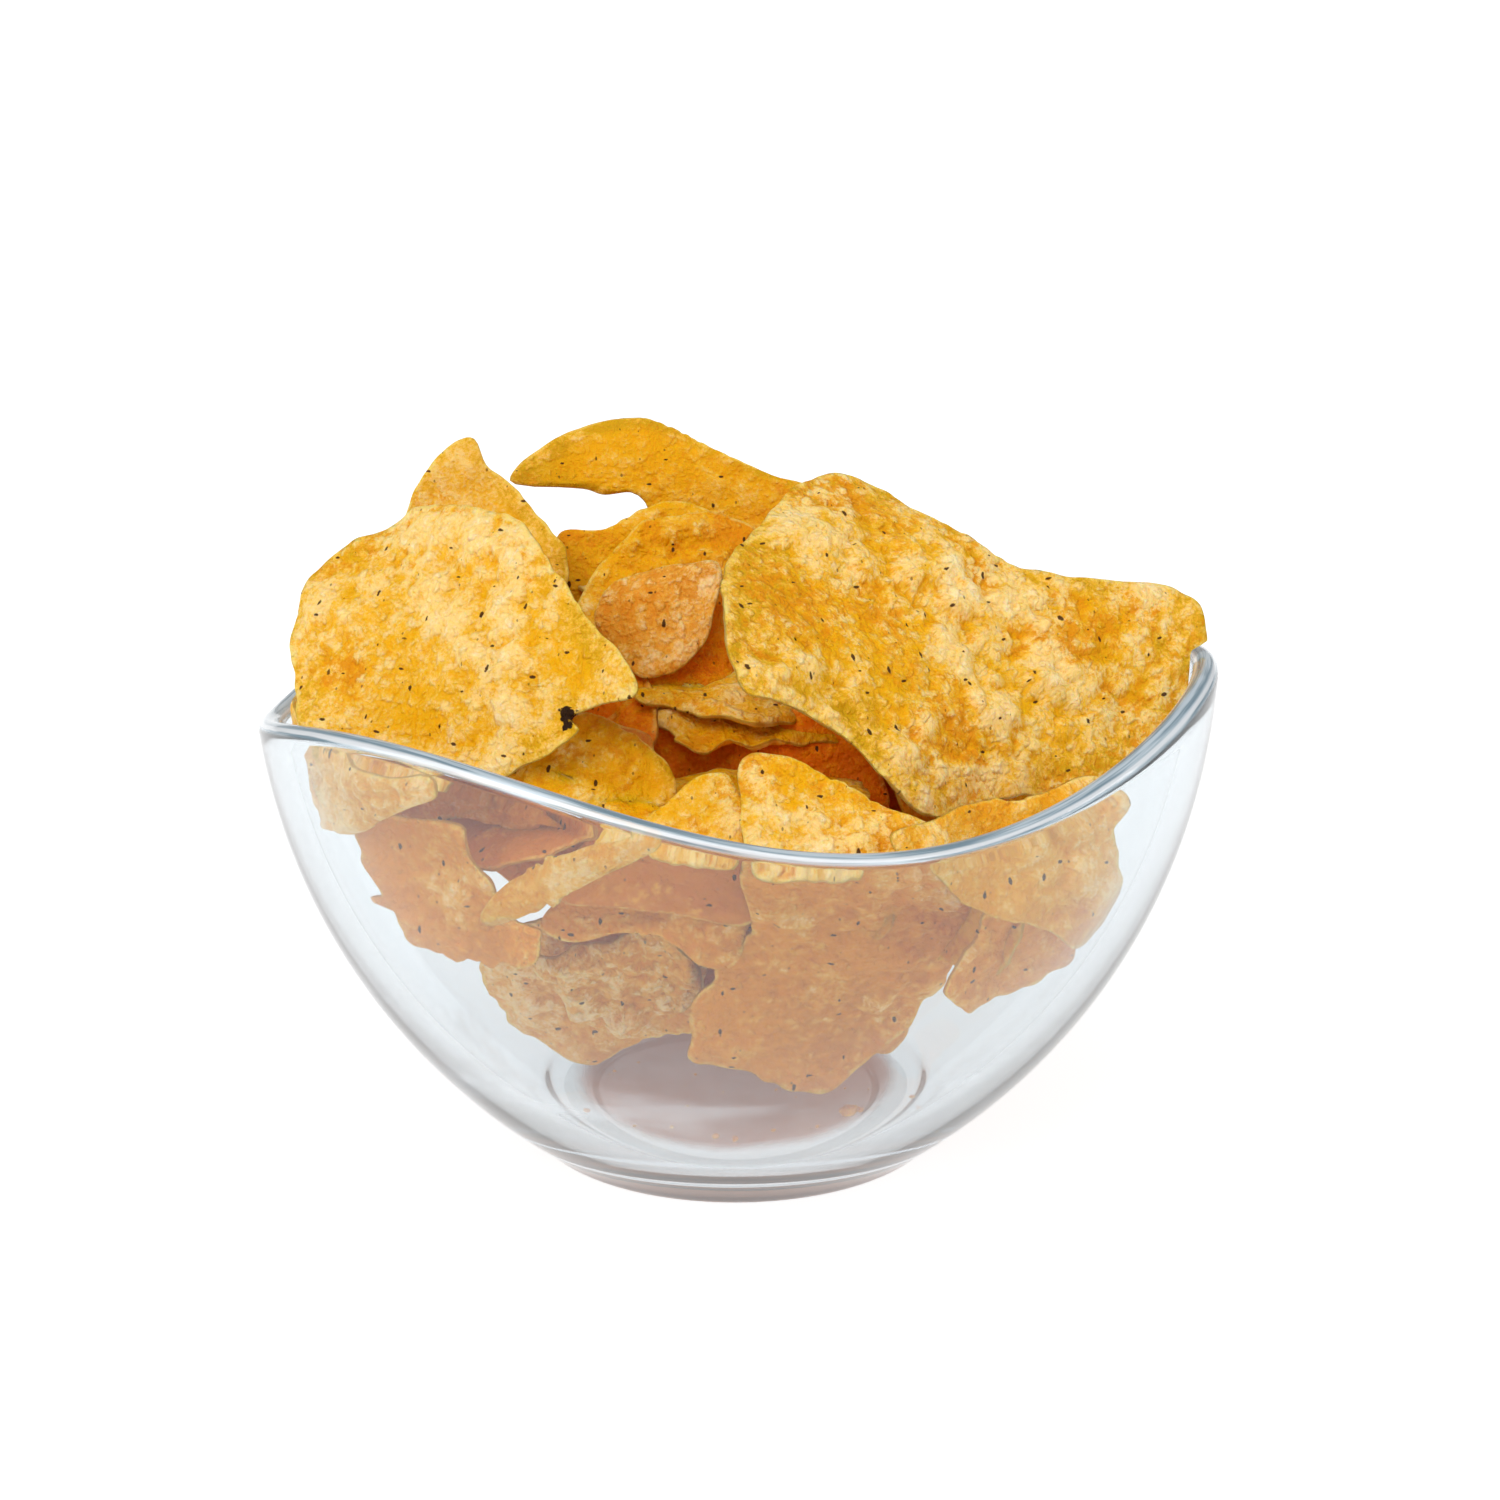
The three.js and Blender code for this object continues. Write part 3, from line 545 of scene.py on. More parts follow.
def make_bowl():
    steps = BOWL_STEPS
    mesh = bmesh.new()
    points = [mesh.verts.new((r * MM, 0, z * MM)) for r, z in bowl_section()]
    lines = [mesh.edges.new(pair) for pair in zip(points, points[1:])]
    bmesh.ops.spin(mesh, geom=points + lines, cent=(0, 0, 0), axis=(0, 0, 1), angle=2 * pi,
                   steps=steps, use_merge=True)
    bmesh.ops.remove_doubles(mesh, verts=mesh.verts, dist=MERGE_DISTANCE * MM)
    bmesh.ops.recalc_face_normals(mesh, faces=mesh.faces)
    # What the rim's painted reflection streaks follow: round the bowl, then over the lip from
    # outside to inside.
    streak = mesh.verts.layers.float_vector.new("streak")
    lip = mesh.verts.layers.float.new("lip")
    floor = mesh.verts.layers.float.new("floor")
    for point in mesh.verts:
        x, y, z = point.co / MM
        rise = min(max((z - LIP_HEIGHT) / LIP_RADIUS, 0), 1)
        is_outer = hypot(x, y) > (outer_wall(LIP_HEIGHT) + inner_wall(LIP_HEIGHT)) / 2
        over = asin(rise) / pi
        angle = atan2(y, x)
        point[streak] = (cos(angle), sin(angle), over if is_outer else 1 - over)
        point[lip] = rise
        point[floor] = 1 if is_floor(x, y, z) else 0
        point.co = carry_rim(point.co)
    return mesh


# ---- The crisps ----

def crisp_axes(turn, tilt):
    """A crisp's own axes: right and up across its face, and out of its face."""
    a, e = radians(turn), radians(tilt)
    out = Vector((sin(a) * cos(e), -cos(a) * cos(e), sin(e)))
    right = Vector((cos(a), sin(a), 0))
    return right, out.cross(right), out


def crisp_sag(bend, u, v):
    """How far a crisp's middle sheet stands out of its flat, at u to the right and v up."""
    first, second, angle = bend
    a = radians(angle)
    along = u * cos(a) + v * sin(a)
    across = v * cos(a) - u * sin(a)
    wave = 2 * pi / RIPPLE_LENGTH
    curl = (first * along ** 2 + second * across ** 2) / BEND_SPAN ** 2
    return curl + RIPPLE_HEIGHT * sin(wave * along + first) * cos(wave * across + second)


def plain_edge(half, number):
    """A plain crisp's corners: an oval whose reach swells and shrinks a little."""
    wide, high = half
    corners = []
    for angle in range(0, 360, PLAIN_STEP):
        a = radians(angle)
        oval = 1 / hypot(cos(a) / wide, sin(a) / high)
        swell = sum(sin(waves * a + turn * number) for waves, turn in PLAIN_SWELLS)
        corners.append((angle, oval * (1 + UNEVENNESS * swell)))
    return corners


class Outline:
    """A smooth closed curve through a crisp's corners, read as a distance at any angle."""

    def __init__(self, corners):
        points = [Vector((reach * cos(radians(angle)), reach * sin(radians(angle)), 0))
                  for angle, reach in corners]
        traced = []
        count = len(points)
        for k, start in enumerate(points):
            before, end, after = points[k - 1], points[(k + 1) % count], points[(k + 2) % count]
            near = (start - before).length ** 0.5
            span = (end - start).length ** 0.5
            far = (after - end).length ** 0.5
            step = (end - start) / span
            leave = (start - before) / near - (end - before) / (near + span) + step
            arrive = step - (after - start) / (span + far) + (after - end) / far
            knots = (start, start + leave * span / 3, end - arrive * span / 3, end)
            traced += interpolate_bezier(*knots, OUTLINE_STEPS)[:-1]
        spots = sorted((atan2(p.y, p.x) % (2 * pi), p.length) for p in traced)
        first, last = spots[0], spots[-1]
        self.spots = [(last[0] - 2 * pi, last[1])] + spots + [(first[0] + 2 * pi, first[1])]
        self.size = sum(reach for _, reach in spots) / len(spots)

    def reach(self, angle):
        angle %= 2 * pi
        low, high = 0, len(self.spots) - 1
        while high - low > 1:
            middle = (low + high) // 2
            if self.spots[middle][0] <= angle:
                low = middle
            else:
                high = middle
        (a, near), (b, far) = self.spots[low], self.spots[high]
        return near + (far - near) * (angle - a) / max(b - a, TINY)


def smooth_step(value, low, high):
    share = min(max((value - low) / (high - low), 0), 1)
    return share * share * (3 - 2 * share)


def keep_inside(point):
    """Keeps a point of a crisp inside the glass. Above the rim it may lean out over it."""
    angle = atan2(point.y, point.x)
    above_rim = point.z - RIM_HEIGHT - rim_wave(angle)
    over = LIP_REACH * smooth_step(above_rim, 0, LEAN_HEIGHT)
    reach = inner_wall(point.z) - CRISP_CLEARANCE + over
    shrink = min(1, reach / max(hypot(point.x, point.y), TINY))
    height = min(max(point.z, FLOOR_HEIGHT + CRISP_CLEARANCE), HEAP_HEIGHT)
    return Vector((point.x * shrink, point.y * shrink, height))


def noise_at(u, v, seed, length):
    """Noise on a crisp's face whose lumps are about length apart."""
    return noise.noise(Vector((u, v, seed)) / length)


def blisters(u, v, seed):
    """The height of the blisters at a place on a face, and how much of a dome there is."""
    height = 0
    dome = 0
    place = Vector((u / CALM_LENGTH, v / CALM_LENGTH, seed + CALM_SEED))
    lively = smooth_step(noise.noise(place), *CALM_RANGE)
    for level, (spacing, cover, rise) in enumerate(BLISTERS):
        place = Vector((u / spacing, v / spacing, seed + BLISTER_SEED * level))
        place += BLISTER_STRAY * noise.noise_vector(place * STRAY_SCALE)
        distance = noise.voronoi(place)[0][0]
        swell = max(0, 1 - (distance / cover) ** 2) ** DOME_FULLNESS
        swell *= CALM_SHARE + (1 - CALM_SHARE) * lively
        height += rise * swell
        dome = max(dome, swell * (1 - DOME_FALL * level))
    height -= CREASE_HEIGHT * abs(noise_at(u, v, seed + CREASE_SEED, CREASE_LENGTH))
    return height, dome


def scorch_at(u, v, scorches):
    """How burnt a place on a crisp is, from 0 to 1."""
    char = 0
    for angle, reach, radius in scorches:
        far = hypot(u - reach * cos(radians(angle)), v - reach * sin(radians(angle)))
        char = max(char, 1 - smooth_step(far, SCORCH_CORE * radius, SCORCH_END * radius))
    return char


def square_to_disc(a, b):
    """Where a point of a square goes when the square is drawn out to a disc."""
    if abs(a) >= abs(b):
        reach, angle = a, (pi / 4) * (b / a if a else 0)
    else:
        reach, angle = b, pi / 2 - (pi / 4) * (a / b)
    return reach * cos(angle), reach * sin(angle)


def add_crisp(mesh, layers, number, row, pitch, crimp, ragged, scorches):
    """Adds a curled slice to mesh: a round sheet of squares, drawn out to its outline, curved,
    given its thickness, and blistered on both faces."""
    at, face, bend, surface, edge = row
    rough = surface[3]
    outline = Outline(edge if len(edge) > 2 else plain_edge(edge, number))
    right, up, out = crisp_axes(*face)
    middle = Vector(at)
    seed = SEED_STEP * number
    count = max(LEAST_SQUARES, round(2 * outline.size / pitch))
    sheet = bmesh.ops.create_grid(mesh, x_segments=count, y_segments=count, size=1)["verts"]
    for point in sheet:
        x, y = square_to_disc(point.co.x, point.co.y)
        angle, share = atan2(y, x), hypot(x, y)
        rim_place = Vector((cos(angle), sin(angle), 0)) * outline.size
        rag = sum(height * noise.noise((rim_place + Vector((seed, 0, 0))) / length)
                  for length, height in RAGGED)
        reach = share * (outline.reach(angle) + ragged * rag * share ** EDGE_SPREAD)
        point[layers["sheet"]] = (reach * cos(angle), reach * sin(angle), share)
    faces = list(dict.fromkeys(patch for point in sheet for patch in point.link_faces))
    raised = bmesh.ops.extrude_face_region(mesh, geom=faces, use_keep_orig=True)["geom"]
    front = [item for item in raised if isinstance(item, bmesh.types.BMVert)]
    bmesh.ops.reverse_faces(mesh, faces=faces)
    for side, points in ((1, front), (-1, sheet)):
        blister_share = 1 if side > 0 else BACK_BLISTERS
        for point in points:
            u, v, share = point[layers["sheet"]]
            rim = share ** EDGE_SHARPNESS
            crimps = noise_at(u, v, seed + CRIMP_SEED, CRIMP_LENGTH) * share ** EDGE_SPREAD
            height, dome = blisters(u, v, seed + FACE_SEED * side)
            body = HALF_THICKNESS * (1 - EDGE_THINNING * rim)
            height *= rough * (1 - EDGE_CALM * rim)
            ripple = noise_at(u, v, seed, UNDULATION_LENGTH)
            grain = noise_at(u, v, seed + side, GRAIN_LENGTH)
            lift = crisp_sag(bend, u, v) + UNDULATION_HEIGHT * ripple + 2 * crimp * crimps
            lift += side * (body + height * blister_share + GRAIN_HEIGHT * grain)
            point.co = keep_inside(middle + right * u + up * v + out * lift) * MM
            point[layers["blister"]] = dome
            point[layers["rim"]] = share
            point[layers["tone"]] = surface
            point[layers["char"]] = scorch_at(u, v, scorches)
            point[layers["sheet"]] = (u + SHEET_STEP * number, v, SHEET_FACE * side)


def potato_layers(mesh):
    """What the material of fried potato reads at a mesh's points."""
    kept = mesh.verts.layers
    layers = {"sheet": kept.float_vector.new("sheet"), "tone": kept.float_color.new("tone")}
    for name in ("blister", "rim", "char"):
        layers[name] = kept.float.new(name)
    return layers


def make_crisps(names):
    """One mesh of several crisps."""
    mesh = bmesh.new()
    layers = potato_layers(mesh)
    rows = {**SHOWN_CRISPS, **PLAIN_CRISPS}
    numbers = {name: number for number, name in enumerate(rows)}
    for name in names:
        pitch = SHOWN_PITCH if name in SHOWN_CRISPS else PLAIN_PITCH
        crimp = CRIMPS.get(name, CRIMP_HEIGHT)
        add_crisp(mesh, layers, numbers[name], rows[name], pitch, crimp,
                  SMOOTH_EDGES.get(name, 1), SCORCHES.get(name, ()))
    return mesh


def make_crumbs():
    """Broken bits on the floor of the bowl: lumps with a rough, flattened shape."""
    draw = random.Random(CRUMB_SEED)
    mesh = bmesh.new()
    layers = potato_layers(mesh)
    spots = list(CRUMBS)
    for _ in range(SPECK_COUNT):
        turn, reach = draw.uniform(0, 2 * pi), SPECK_REACH * draw.random() ** 0.5
        spots.append((reach * cos(turn), reach * sin(turn), draw.uniform(*SPECK_SIZES)))
    for number, (x, y, size) in enumerate(spots):
        lump = bmesh.ops.create_icosphere(mesh, subdivisions=2, radius=1)["verts"]
        width = draw.uniform(*CRUMB_WIDTHS)
        turn = draw.uniform(0, pi)
        offset = Vector((number, *CRUMB_NOISE_PLACE))
        middle = Vector((x, y, FLOOR_HEIGHT + CRUMB_GAP + CRUMB_RISE * size))
        for point in lump:
            swell = 1 + CRUMB_SWELL * noise.noise(point.co * CRUMB_LUMPS + offset)
            shape = Vector((point.co.x, point.co.y * width, point.co.z * CRUMB_HEIGHT))
            shape = shape * size * swell
            shape.rotate(Matrix.Rotation(turn, 3, "Z"))
            lift = middle + shape
            point[layers["sheet"]] = lift
            point[layers["tone"]] = TAN
            point[layers["blister"]] = CRUMB_BLISTER
            lift.z = max(lift.z, FLOOR_HEIGHT + CRUMB_GAP / 2)
            point.co = lift * MM
    return mesh


# ---- Pieces ----

def add_object(name, data):
    made = bpy.data.objects.new(name, data)
    bpy.context.scene.collection.objects.link(made)
    return made


def add_mesh(name, mesh, material):
    data = bpy.data.meshes.new(name)
    mesh.to_mesh(data)
    mesh.free()
    data.materials.append(material)
    return add_object(name, data)


def finish_piece(name, mesh, material, node=None):
    """Makes a mesh one piece of the part, at rest on the part's one body."""
    bmesh.ops.recalc_face_normals(mesh, faces=mesh.faces)
    piece = add_mesh(name, mesh, material)
    faces = piece.data.polygons
    faces.foreach_set("use_smooth", [True] * len(faces))
    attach(piece, "root")
    if node:
        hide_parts(node)
    return piece


# ---- Materials ----

# Fried potato's colours. Of a pair, the first is for a yellow slice, the second for a tan one.
YELLOW_SKIN = paint(236, 170, 4)
RAW_SKIN = paint(208, 158, 14)
TAN_SKIN = paint(232, 148, 34)
# For crisps in shade, a painted shade tone that is partly real toasting: a bright orange for the
# light glowing through a yellow slice, a darker tan brown for a tan one.
ROASTED_SHADE_TONE = (paint(252, 154, 5), paint(212, 124, 50))
GOLD = (paint(239, 184, 58), paint(240, 174, 66))
BROWN = paint(222, 138, 4)
# Browned patches on crisps in shade, in the painted shade tone.
ROASTED_SHADE_BROWN = paint(232, 110, 2)
TAN_BROWN = paint(216, 134, 30)
CREAMY = (paint(247, 208, 126), paint(252, 208, 140))
# The palest cream on the highest blisters, partly a painted highlight on their tops.
PALEST_AND_HIGHLIGHT = (paint(252, 225, 168), paint(255, 228, 186))
# A painted glow along a crisp's very edge, in place of the light that shines through its thin rim.
EDGE_GLOW_PAINT = paint(250, 212, 112)
SPECK_BROWN = paint(68, 34, 12)
BURNT = paint(48, 27, 12)

# The sizes of its patterns, in millimetres.
MOTTLE_SIZE = 4
ZONE_SIZE = 14
PATCH_SIZE = 16
FLECK_SIZE = 1.7
GRAIN_SIZE = 0.45
WARP_SCALE = 0.45
WARP_REACH = (2.0, 2.0, 0)
ASIDE = (57, 31, 0)
DOME_SPACING = 2.5
BEAD_SPACING = 1.1

# Between which values each look sets in, from none of it to all of it.
ROASTED_SHADE_FROM = (0.5, 0.85)
TAN_FROM = (0, 0.5)
GOLD_FROM = (0.08, 0.45)
CREAMY_FROM = (0.32, 0.75)
PALEST_HIGHLIGHT_FROM = (0.72, 1.2)
BROWNED_FROM = (0.64, 0.8)
RAW_FROM = (0.55, 0.85)
EDGE_GLOW_FROM = (0.96, 0.985)
BURNT_FROM = (0.5, 0.75)

# Dark specks, longer than they are wide, which lie both ways: how far apart their cells are, how
# they are drawn out, their radius, the share of the cells without one, and how dark they are.
SPECKS = ((6.5, (1, 0.5, 1), 0.038, 0.3, 0.95),
          (5.5, (0.5, 1, 1), 0.036, 0.4, 0.95),
          (3.5, (1, 0.7, 1), 0.042, 0.55, 0.6))
SPECK_RIM = (-0.01, 0.008)


def add_specks(tree, colour, sheet, grain):
    """The colour with dark specks on it."""
    for spacing, slim, radius, rarity, dark in SPECKS:
        drawn = tree.vector("MULTIPLY", sheet, slim)
        draw = tree.cells(drawn, spacing, 1)
        size = radius * (0.5 + 0.8 * tree.part(draw, 1) + 1.6 * (grain - 0.5))
        speck = 1 - tree.fade(tree.cells(drawn, spacing) - size, *SPECK_RIM)
        speck = speck * tree.fade(tree.part(draw, 0), rarity, rarity + 0.02)
        colour = tree.mix(dark * speck, colour, SPECK_BROWN)
    return colour


def fried_potato():
    """Fried potato: golden, creamy on its blisters, browned between them, with dark specks."""
    tree = Tree(bpy.data.materials.new("fried_potato"))
    sheet = tree.kept("sheet", 1)
    blister = tree.kept("blister", 2)
    rim = tree.kept("rim", 2)
    char = tree.kept("char", 2)
    tone = tree.kept("tone", 1)
    rough = tree.kept("tone", 3)
    toast, pale, olive = (tree.part(tone, axis) for axis in range(3))

    warp = tree.node("ShaderNodeTexNoise", {},
                     {"Vector": sheet, "Scale": WARP_SCALE, "Detail": 3}, 1)
    stray = tree.node("ShaderNodeVectorMath", {"operation": "MULTIPLY_ADD"},
                      {0: warp, 1: WARP_REACH, 2: sheet})
    aside = tree.vector("ADD", sheet, ASIDE)
    mottle = tree.clouds(sheet, MOTTLE_SIZE, 5, 0.7)
    zones = tree.clouds(aside, ZONE_SIZE, 3, 0.55)
    patches = tree.clouds(sheet, PATCH_SIZE, 4, 0.6)
    flecks = tree.clouds(aside, FLECK_SIZE, 4, 0.72)
    grain = tree.clouds(sheet, GRAIN_SIZE, 2, 0.65)
    domes = 1 - tree.fade(tree.cells(stray, DOME_SPACING), 0.1, 0.5)
    beads = 1 - tree.fade(tree.cells(stray, BEAD_SPACING), 0.1, 0.55)

    # How much a place swells: the skin is creamy where it does and golden where it doesn't.
    swell = 0.55 * blister + 0.2 * domes + 0.12 * beads + 1.5 * (mottle - 0.5)
    level = (0.45 + 0.55 * rough) * swell + 0.95 * (grain - 0.5)
    level = level + 0.8 * (pale - 0.5) + 1.1 * (zones - 0.5)
    inside = 1 - tree.fade(rim + 0.5 * (zones - 0.5), 0.62, 0.95)
    patchy = 0.6 * patches + 0.6 * flecks + 0.25 * toast - 0.15 * swell
    browned = tree.fade(patchy, *BROWNED_FROM)
    raw = tree.fade(1 - zones + 0.5 * olive - 0.28 * inside, *RAW_FROM)
    edge = tree.fade(rim + 0.06 * (mottle - 0.5), *EDGE_GLOW_FROM)
    # A high toast marks a crisp in the heap's shade: it takes the painted shade tone.
    roasted_in_shade = tree.fade(toast, *ROASTED_SHADE_FROM)
    tan = tree.fade(0 - olive, *TAN_FROM)
    level = (1 - 0.2 * tan) * level

    colour = tree.mix(raw, YELLOW_SKIN, RAW_SKIN)
    colour = tree.mix(tan, colour, TAN_SKIN)
    colour = tree.mix(roasted_in_shade, colour, tree.mix(tan, *ROASTED_SHADE_TONE))
    colour = tree.mix(tree.fade(level, *GOLD_FROM), colour, tree.mix(tan, *GOLD))
    browning = tree.mix(tan, tree.mix(roasted_in_shade, BROWN, ROASTED_SHADE_BROWN), TAN_BROWN)
    colour = tree.mix(0.8 * browned, colour, browning)
    level = level - 0.15 * browned - 0.3 * roasted_in_shade
    colour = tree.mix(tree.fade(level, *CREAMY_FROM), colour, tree.mix(tan, *CREAMY))
    # Palest cream on the tops of the highest blisters, partly a painted highlight.
    colour = tree.mix(tree.fade(level, *PALEST_HIGHLIGHT_FROM), colour, tree.mix(tan, *PALEST_AND_HIGHLIGHT))
    # Painted glow: a pale line along the very edge, in place of the light that shines through the
    # thin rim.
    colour = tree.mix(0.5 * edge * tree.fade(mottle, 0.4, 0.6), colour, EDGE_GLOW_PAINT)
    colour = add_specks(tree, colour, sheet, grain)
    burnt = tree.fade(char + 1.2 * (mottle - 0.5) + 0.3 * beads, *BURNT_FROM)
    colour = tree.mix(burnt * tree.fade(char, 0.02, 0.2), colour, BURNT)

    relief = rough * (0.3 * domes + 0.2 * beads + 0.3 * mottle) + 0.3 * grain
    bump = tree.node("ShaderNodeBump", {}, {"Strength": 1.0, "Distance": MM, "Height": relief})
    shader = tree.surface({
        "Base Color": colour,
        "Roughness": 0.4 + 0.2 * pale,
        "Normal": bump,
        "IOR": 1.42,
        "Specular IOR Level": 0.12,
        "Subsurface Weight": 0.4,
        "Subsurface Radius": (1.0, 0.5, 0.08),
        "Subsurface Scale": 2.0 * MM,
    })
    tree.node("ShaderNodeOutputMaterial", {}, {"Surface": shader})
    return tree.owner


GLASS_IOR = 1.5
GLASS_CLEARNESS = 0.975
GLASS_TINT = (0.97, 0.985, 0.99, 1)
GLASS_DEPTH_TINT = (0.47, 0.59, 0.67, 1)
GLASS_DEPTH = 40.0  # how fast it tints what is seen through it, for each metre
GLASS_OPEN = (0.95, 0.945, 0.95, 1)  # the light that it lets through

# The lip's painted reflections: its blue-grey and pale streaks, and its painted white highlight
# line.
LIP_GREY = paint(120, 146, 160)
LIP_PALE = paint(205, 219, 228)
LIP_HIGHLIGHT = paint(246, 249, 252)
LIP_STREAKS = (3, 3, 7)  # how many there are round it, and over it
LIP_LINE = (0.5, 0.62, 0.74, 0.84)  # where on the lip the white line sets in and ends
LIP_PAINT_SHARE = 0.72

# The painted shade and reflection on the floor of the bowl: its colour, where it fades out, and
# the size and stray of its clouds.
FLOOR_SHADE_COLOUR = paint(188, 120, 86)
FLOOR_SHADE_END = (24, 28)  # how far from the axis it begins to fade, and is gone
FLOOR_SHADE_CLOUD_SIZE = 9
FLOOR_SHADE_STRAY = 3

# Painted highlight streaks in the lower wall: their colour, share, size and the heights they span.
GLEAM_COLOUR = paint(240, 245, 249)
GLEAM_SHARE = 0.25
GLEAM_STREAKS = (22, 22, 80)
GLEAM_START = (8, 14)  # the heights between which it comes up
GLEAM_END = (20, 42)


def fade_mm(tree, value, span):
    """A fade over a span in millimetres."""
    return tree.fade(value, span[0] * MM, span[1] * MM)


def add_lip(tree, glass):
    """Painted reflections on the lip, in place of the light that it bends: pale and blue-grey
    streaks that run round it, and a painted white highlight line over it.
    """
    lip = tree.kept("lip", 2)
    along = tree.vector("MULTIPLY", tree.kept("streak", 1), LIP_STREAKS)
    streaks = tree.clouds(along, 1, 3, 0.6)
    shade = tree.mix(tree.fade(streaks, 0.38, 0.6), LIP_GREY, LIP_PALE)
    place = lip + 0.3 * (streaks - 0.5)
    line = tree.fade(place, *LIP_LINE[:2]) - tree.fade(place, *LIP_LINE[2:])
    shade = tree.mix(0.85 * line, shade, LIP_HIGHLIGHT)
    # A painted surface over the lip's glass, in place of its reflections.
    painted_lip = tree.surface({"Base Color": shade, "Roughness": 0.1, "IOR": GLASS_IOR})
    return tree.blend(LIP_PAINT_SHARE * tree.fade(lip, 0.2, 0.5), glass, painted_lip)


def add_painted_floor_shade(tree, glass, place):
    """Painted shade and reflection on the floor of the bowl: a pinkish-brown layer that stands for
    the crisps' shadow and their reflection in the base.
    """
    painted_floor_shade = tree.surface({"Base Color": FLOOR_SHADE_COLOUR, "Roughness": 0.35})
    floor_shade_clouds = tree.clouds(place, FLOOR_SHADE_CLOUD_SIZE * MM, 3, 0.55)
    level = tree.vector("MULTIPLY", place, (1, 1, 0))
    reach = tree.node("ShaderNodeVectorMath", {"operation": "LENGTH"}, {0: level}, 1)
    floor_shade_share = 1 - fade_mm(tree, reach + FLOOR_SHADE_STRAY * MM * (floor_shade_clouds - 0.5), FLOOR_SHADE_END)
    return tree.blend(tree.kept("floor", 2) * floor_shade_share * (0.7 + 0.3 * floor_shade_clouds), glass, painted_floor_shade)


def add_gleam(tree, glass, place):
    """Painted highlights: soft white streaks in the lower wall, where the glass bends the light
    most.
    """
    drawn = tree.vector("MULTIPLY", place, GLEAM_STREAKS)
    gleam = tree.fade(tree.clouds(drawn, 1, 3, 0.6), 0.54, 0.7)
    rise = tree.part(place, 2)
    gleam = gleam * fade_mm(tree, rise, GLEAM_START) * (1 - fade_mm(tree, rise, GLEAM_END))
    painted_gleam = tree.surface({"Base Color": GLEAM_COLOUR, "Roughness": 0.2})
    return tree.blend(GLEAM_SHARE * gleam, glass, painted_gleam)


def clear_glass():
    """Clear glass, faintly blue where it is seen through at length. Lamps shine through it."""
    tree = Tree(bpy.data.materials.new("clear_glass"))
    glass = tree.surface({
        "Base Color": GLASS_TINT,
        "Roughness": 0.0,
        "IOR": GLASS_IOR,
        "Transmission Weight": GLASS_CLEARNESS,
    })
    place = tree.node("ShaderNodeTexCoord", {}, {}, "Object")
    glass = add_lip(tree, glass)
    glass = add_painted_floor_shade(tree, glass, place)
    glass = add_gleam(tree, glass, place)
    open_way = tree.node("ShaderNodeBsdfTransparent", {}, {"Color": GLASS_OPEN})
    for ray in ("Is Diffuse Ray", "Is Shadow Ray"):
        lamp = tree.node("ShaderNodeLightPath", {}, {}, ray)
        glass = tree.blend(lamp, glass, open_way)
    depth = tree.node("ShaderNodeVolumeAbsorption", {},
                      {"Color": GLASS_DEPTH_TINT, "Density": GLASS_DEPTH})
    tree.node("ShaderNodeOutputMaterial", {}, {"Surface": glass, "Volume": depth})
    return tree.owner


GROUND_GREY = (0.35, 0.35, 0.35, 1)
GROUND_GLOW = 0.82
GROUND_ROUGHNESS = 0.9
GROUND_SIZE = 5  # in metres, from its middle to its side


def floor_white():
    tree = Tree(bpy.data.materials.new("floor_white"))
    shader = tree.surface({
        "Base Color": GROUND_GREY,
        "Roughness": GROUND_ROUGHNESS,
        "Emission Color": (1, 1, 1, 1),
        "Emission Strength": GROUND_GLOW,
    })
    tree.node("ShaderNodeOutputMaterial", {}, {"Surface": shader})
    return tree.owner


# ---- The camera, the light and the floor ----

CAMERA_LENS = 84
CAMERA_SENSOR = 36
CAMERA_NEAREST = 0.01  # in metres
CAMERA_ELEVATION = 16.8
CAMERA_DISTANCE = 550
CAMERA_TARGET = Vector((2.3, 0, 63.7))


def make_camera():
    data = bpy.data.cameras.new("camera")
    data.lens = CAMERA_LENS
    data.sensor_width = CAMERA_SENSOR
    data.clip_start = CAMERA_NEAREST
    camera = add_object("camera", data)
    e = radians(CAMERA_ELEVATION)
    camera.location = (CAMERA_TARGET - CAMERA_DISTANCE * Vector((0, cos(e), -sin(e)))) * MM
    camera.rotation_euler = (pi / 2 - e, 0, 0)
    bpy.context.scene.camera = camera


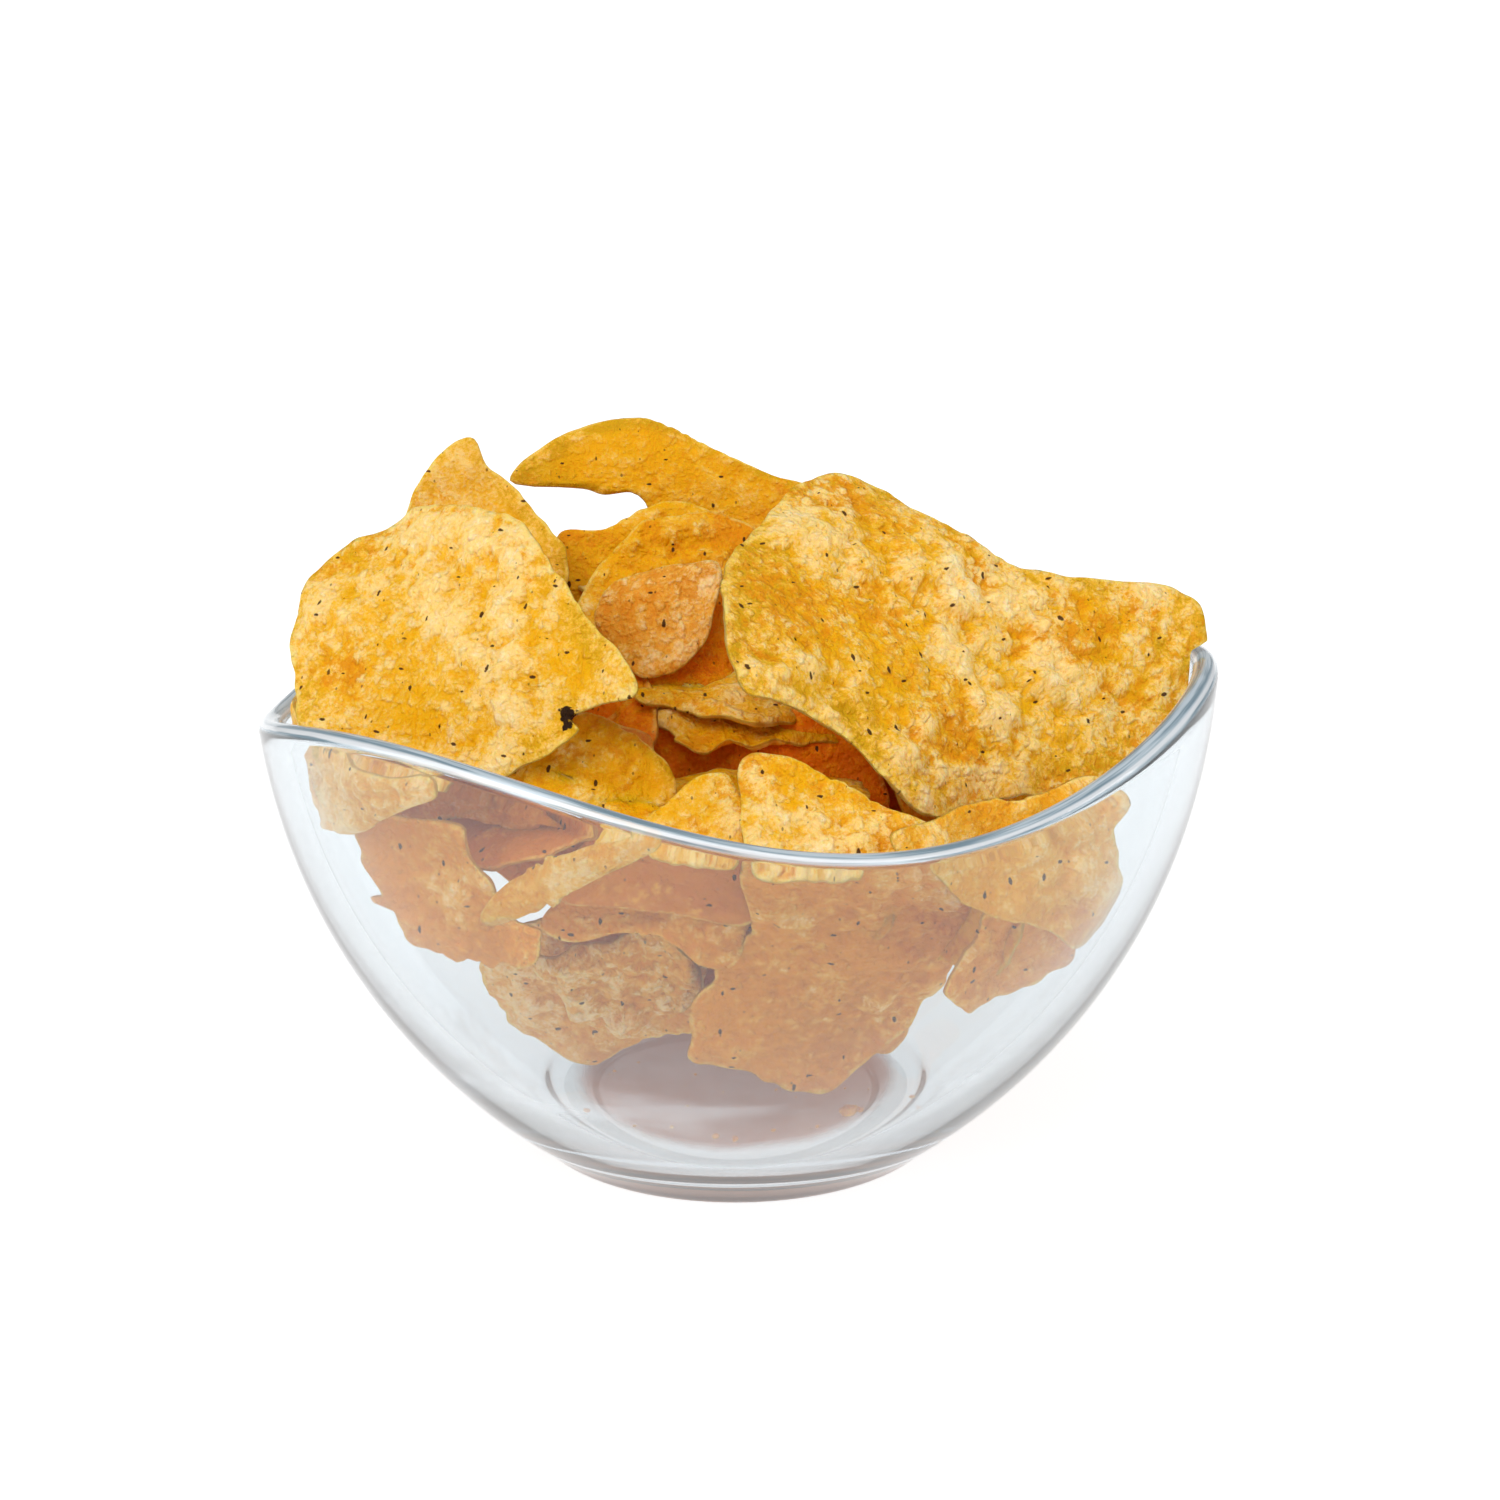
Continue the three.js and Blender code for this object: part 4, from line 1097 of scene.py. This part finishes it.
# Soft lamps: where each stands and how wide it is, in metres, its power in watts and its colour.
LAMPS = {
    "lamp_left": ((-1.1, -0.9, 1.3), 0.8, 6, (1.0, 0.985, 0.96)),
    "lamp_right": ((1.3, -0.2, 0.9), 0.6, 5, (0.96, 0.98, 1.0)),
}
LAMP_AIM = Vector((0, 0, 0.05))
DAYLIGHT_FROM = (-0.35, -0.55, 1.0)
DAYLIGHT_SPREAD = 50  # degrees across
DAYLIGHT_POWER = 1.5

SKY_LOW = (1, 1, 1, 1)
SKY_HIGH = (0.74, 0.75, 0.77, 1)
SKY_RISE = (0.05, 0.8)
SKY_POWER = 0.56


def stand_lamp(data, place):
    """Puts a lamp in its place, looking at the bowl."""
    lamp = add_object(data.name, data)
    lamp.location = place
    aim = LAMP_AIM - Vector(place)
    lamp.rotation_euler = aim.to_track_quat("-Z", "Y").to_euler()


def make_lamps():
    for name, (place, width, power, colour) in LAMPS.items():
        data = bpy.data.lights.new(name, "AREA")
        data.size = width
        data.energy = power
        data.color = colour
        stand_lamp(data, place)
    daylight = bpy.data.lights.new("daylight", "SUN")
    daylight.angle = radians(DAYLIGHT_SPREAD)
    daylight.energy = DAYLIGHT_POWER
    stand_lamp(daylight, DAYLIGHT_FROM)


def make_world():
    world = bpy.data.worlds.new("world")
    bpy.context.scene.world = world
    tree = Tree(world)
    place = tree.node("ShaderNodeTexCoord", {}, {}, "Generated")
    sky = tree.mix(tree.fade(tree.part(place, 2), *SKY_RISE), SKY_LOW, SKY_HIGH)
    light = tree.node("ShaderNodeBackground", {}, {"Color": sky, "Strength": SKY_POWER})
    tree.node("ShaderNodeOutputWorld", {}, {"Surface": light})


def make_floor():
    mesh = bmesh.new()
    bmesh.ops.create_grid(mesh, x_segments=1, y_segments=1, size=GROUND_SIZE)
    floor = add_mesh("floor", mesh, floor_white())


noise.seed_set(NOISE_SEED)
make_camera()
make_lamps()
make_world()
make_floor()
bpy.context.scene.view_settings.view_transform = "Standard"

finish_piece("glass_bowl", make_bowl(), clear_glass(), "bowl")
potato = fried_potato()
for group, names in GROUPS.items():
    finish_piece(group, make_crisps(names), potato, "crisps")
finish_piece("crumbs", make_crumbs(), potato)
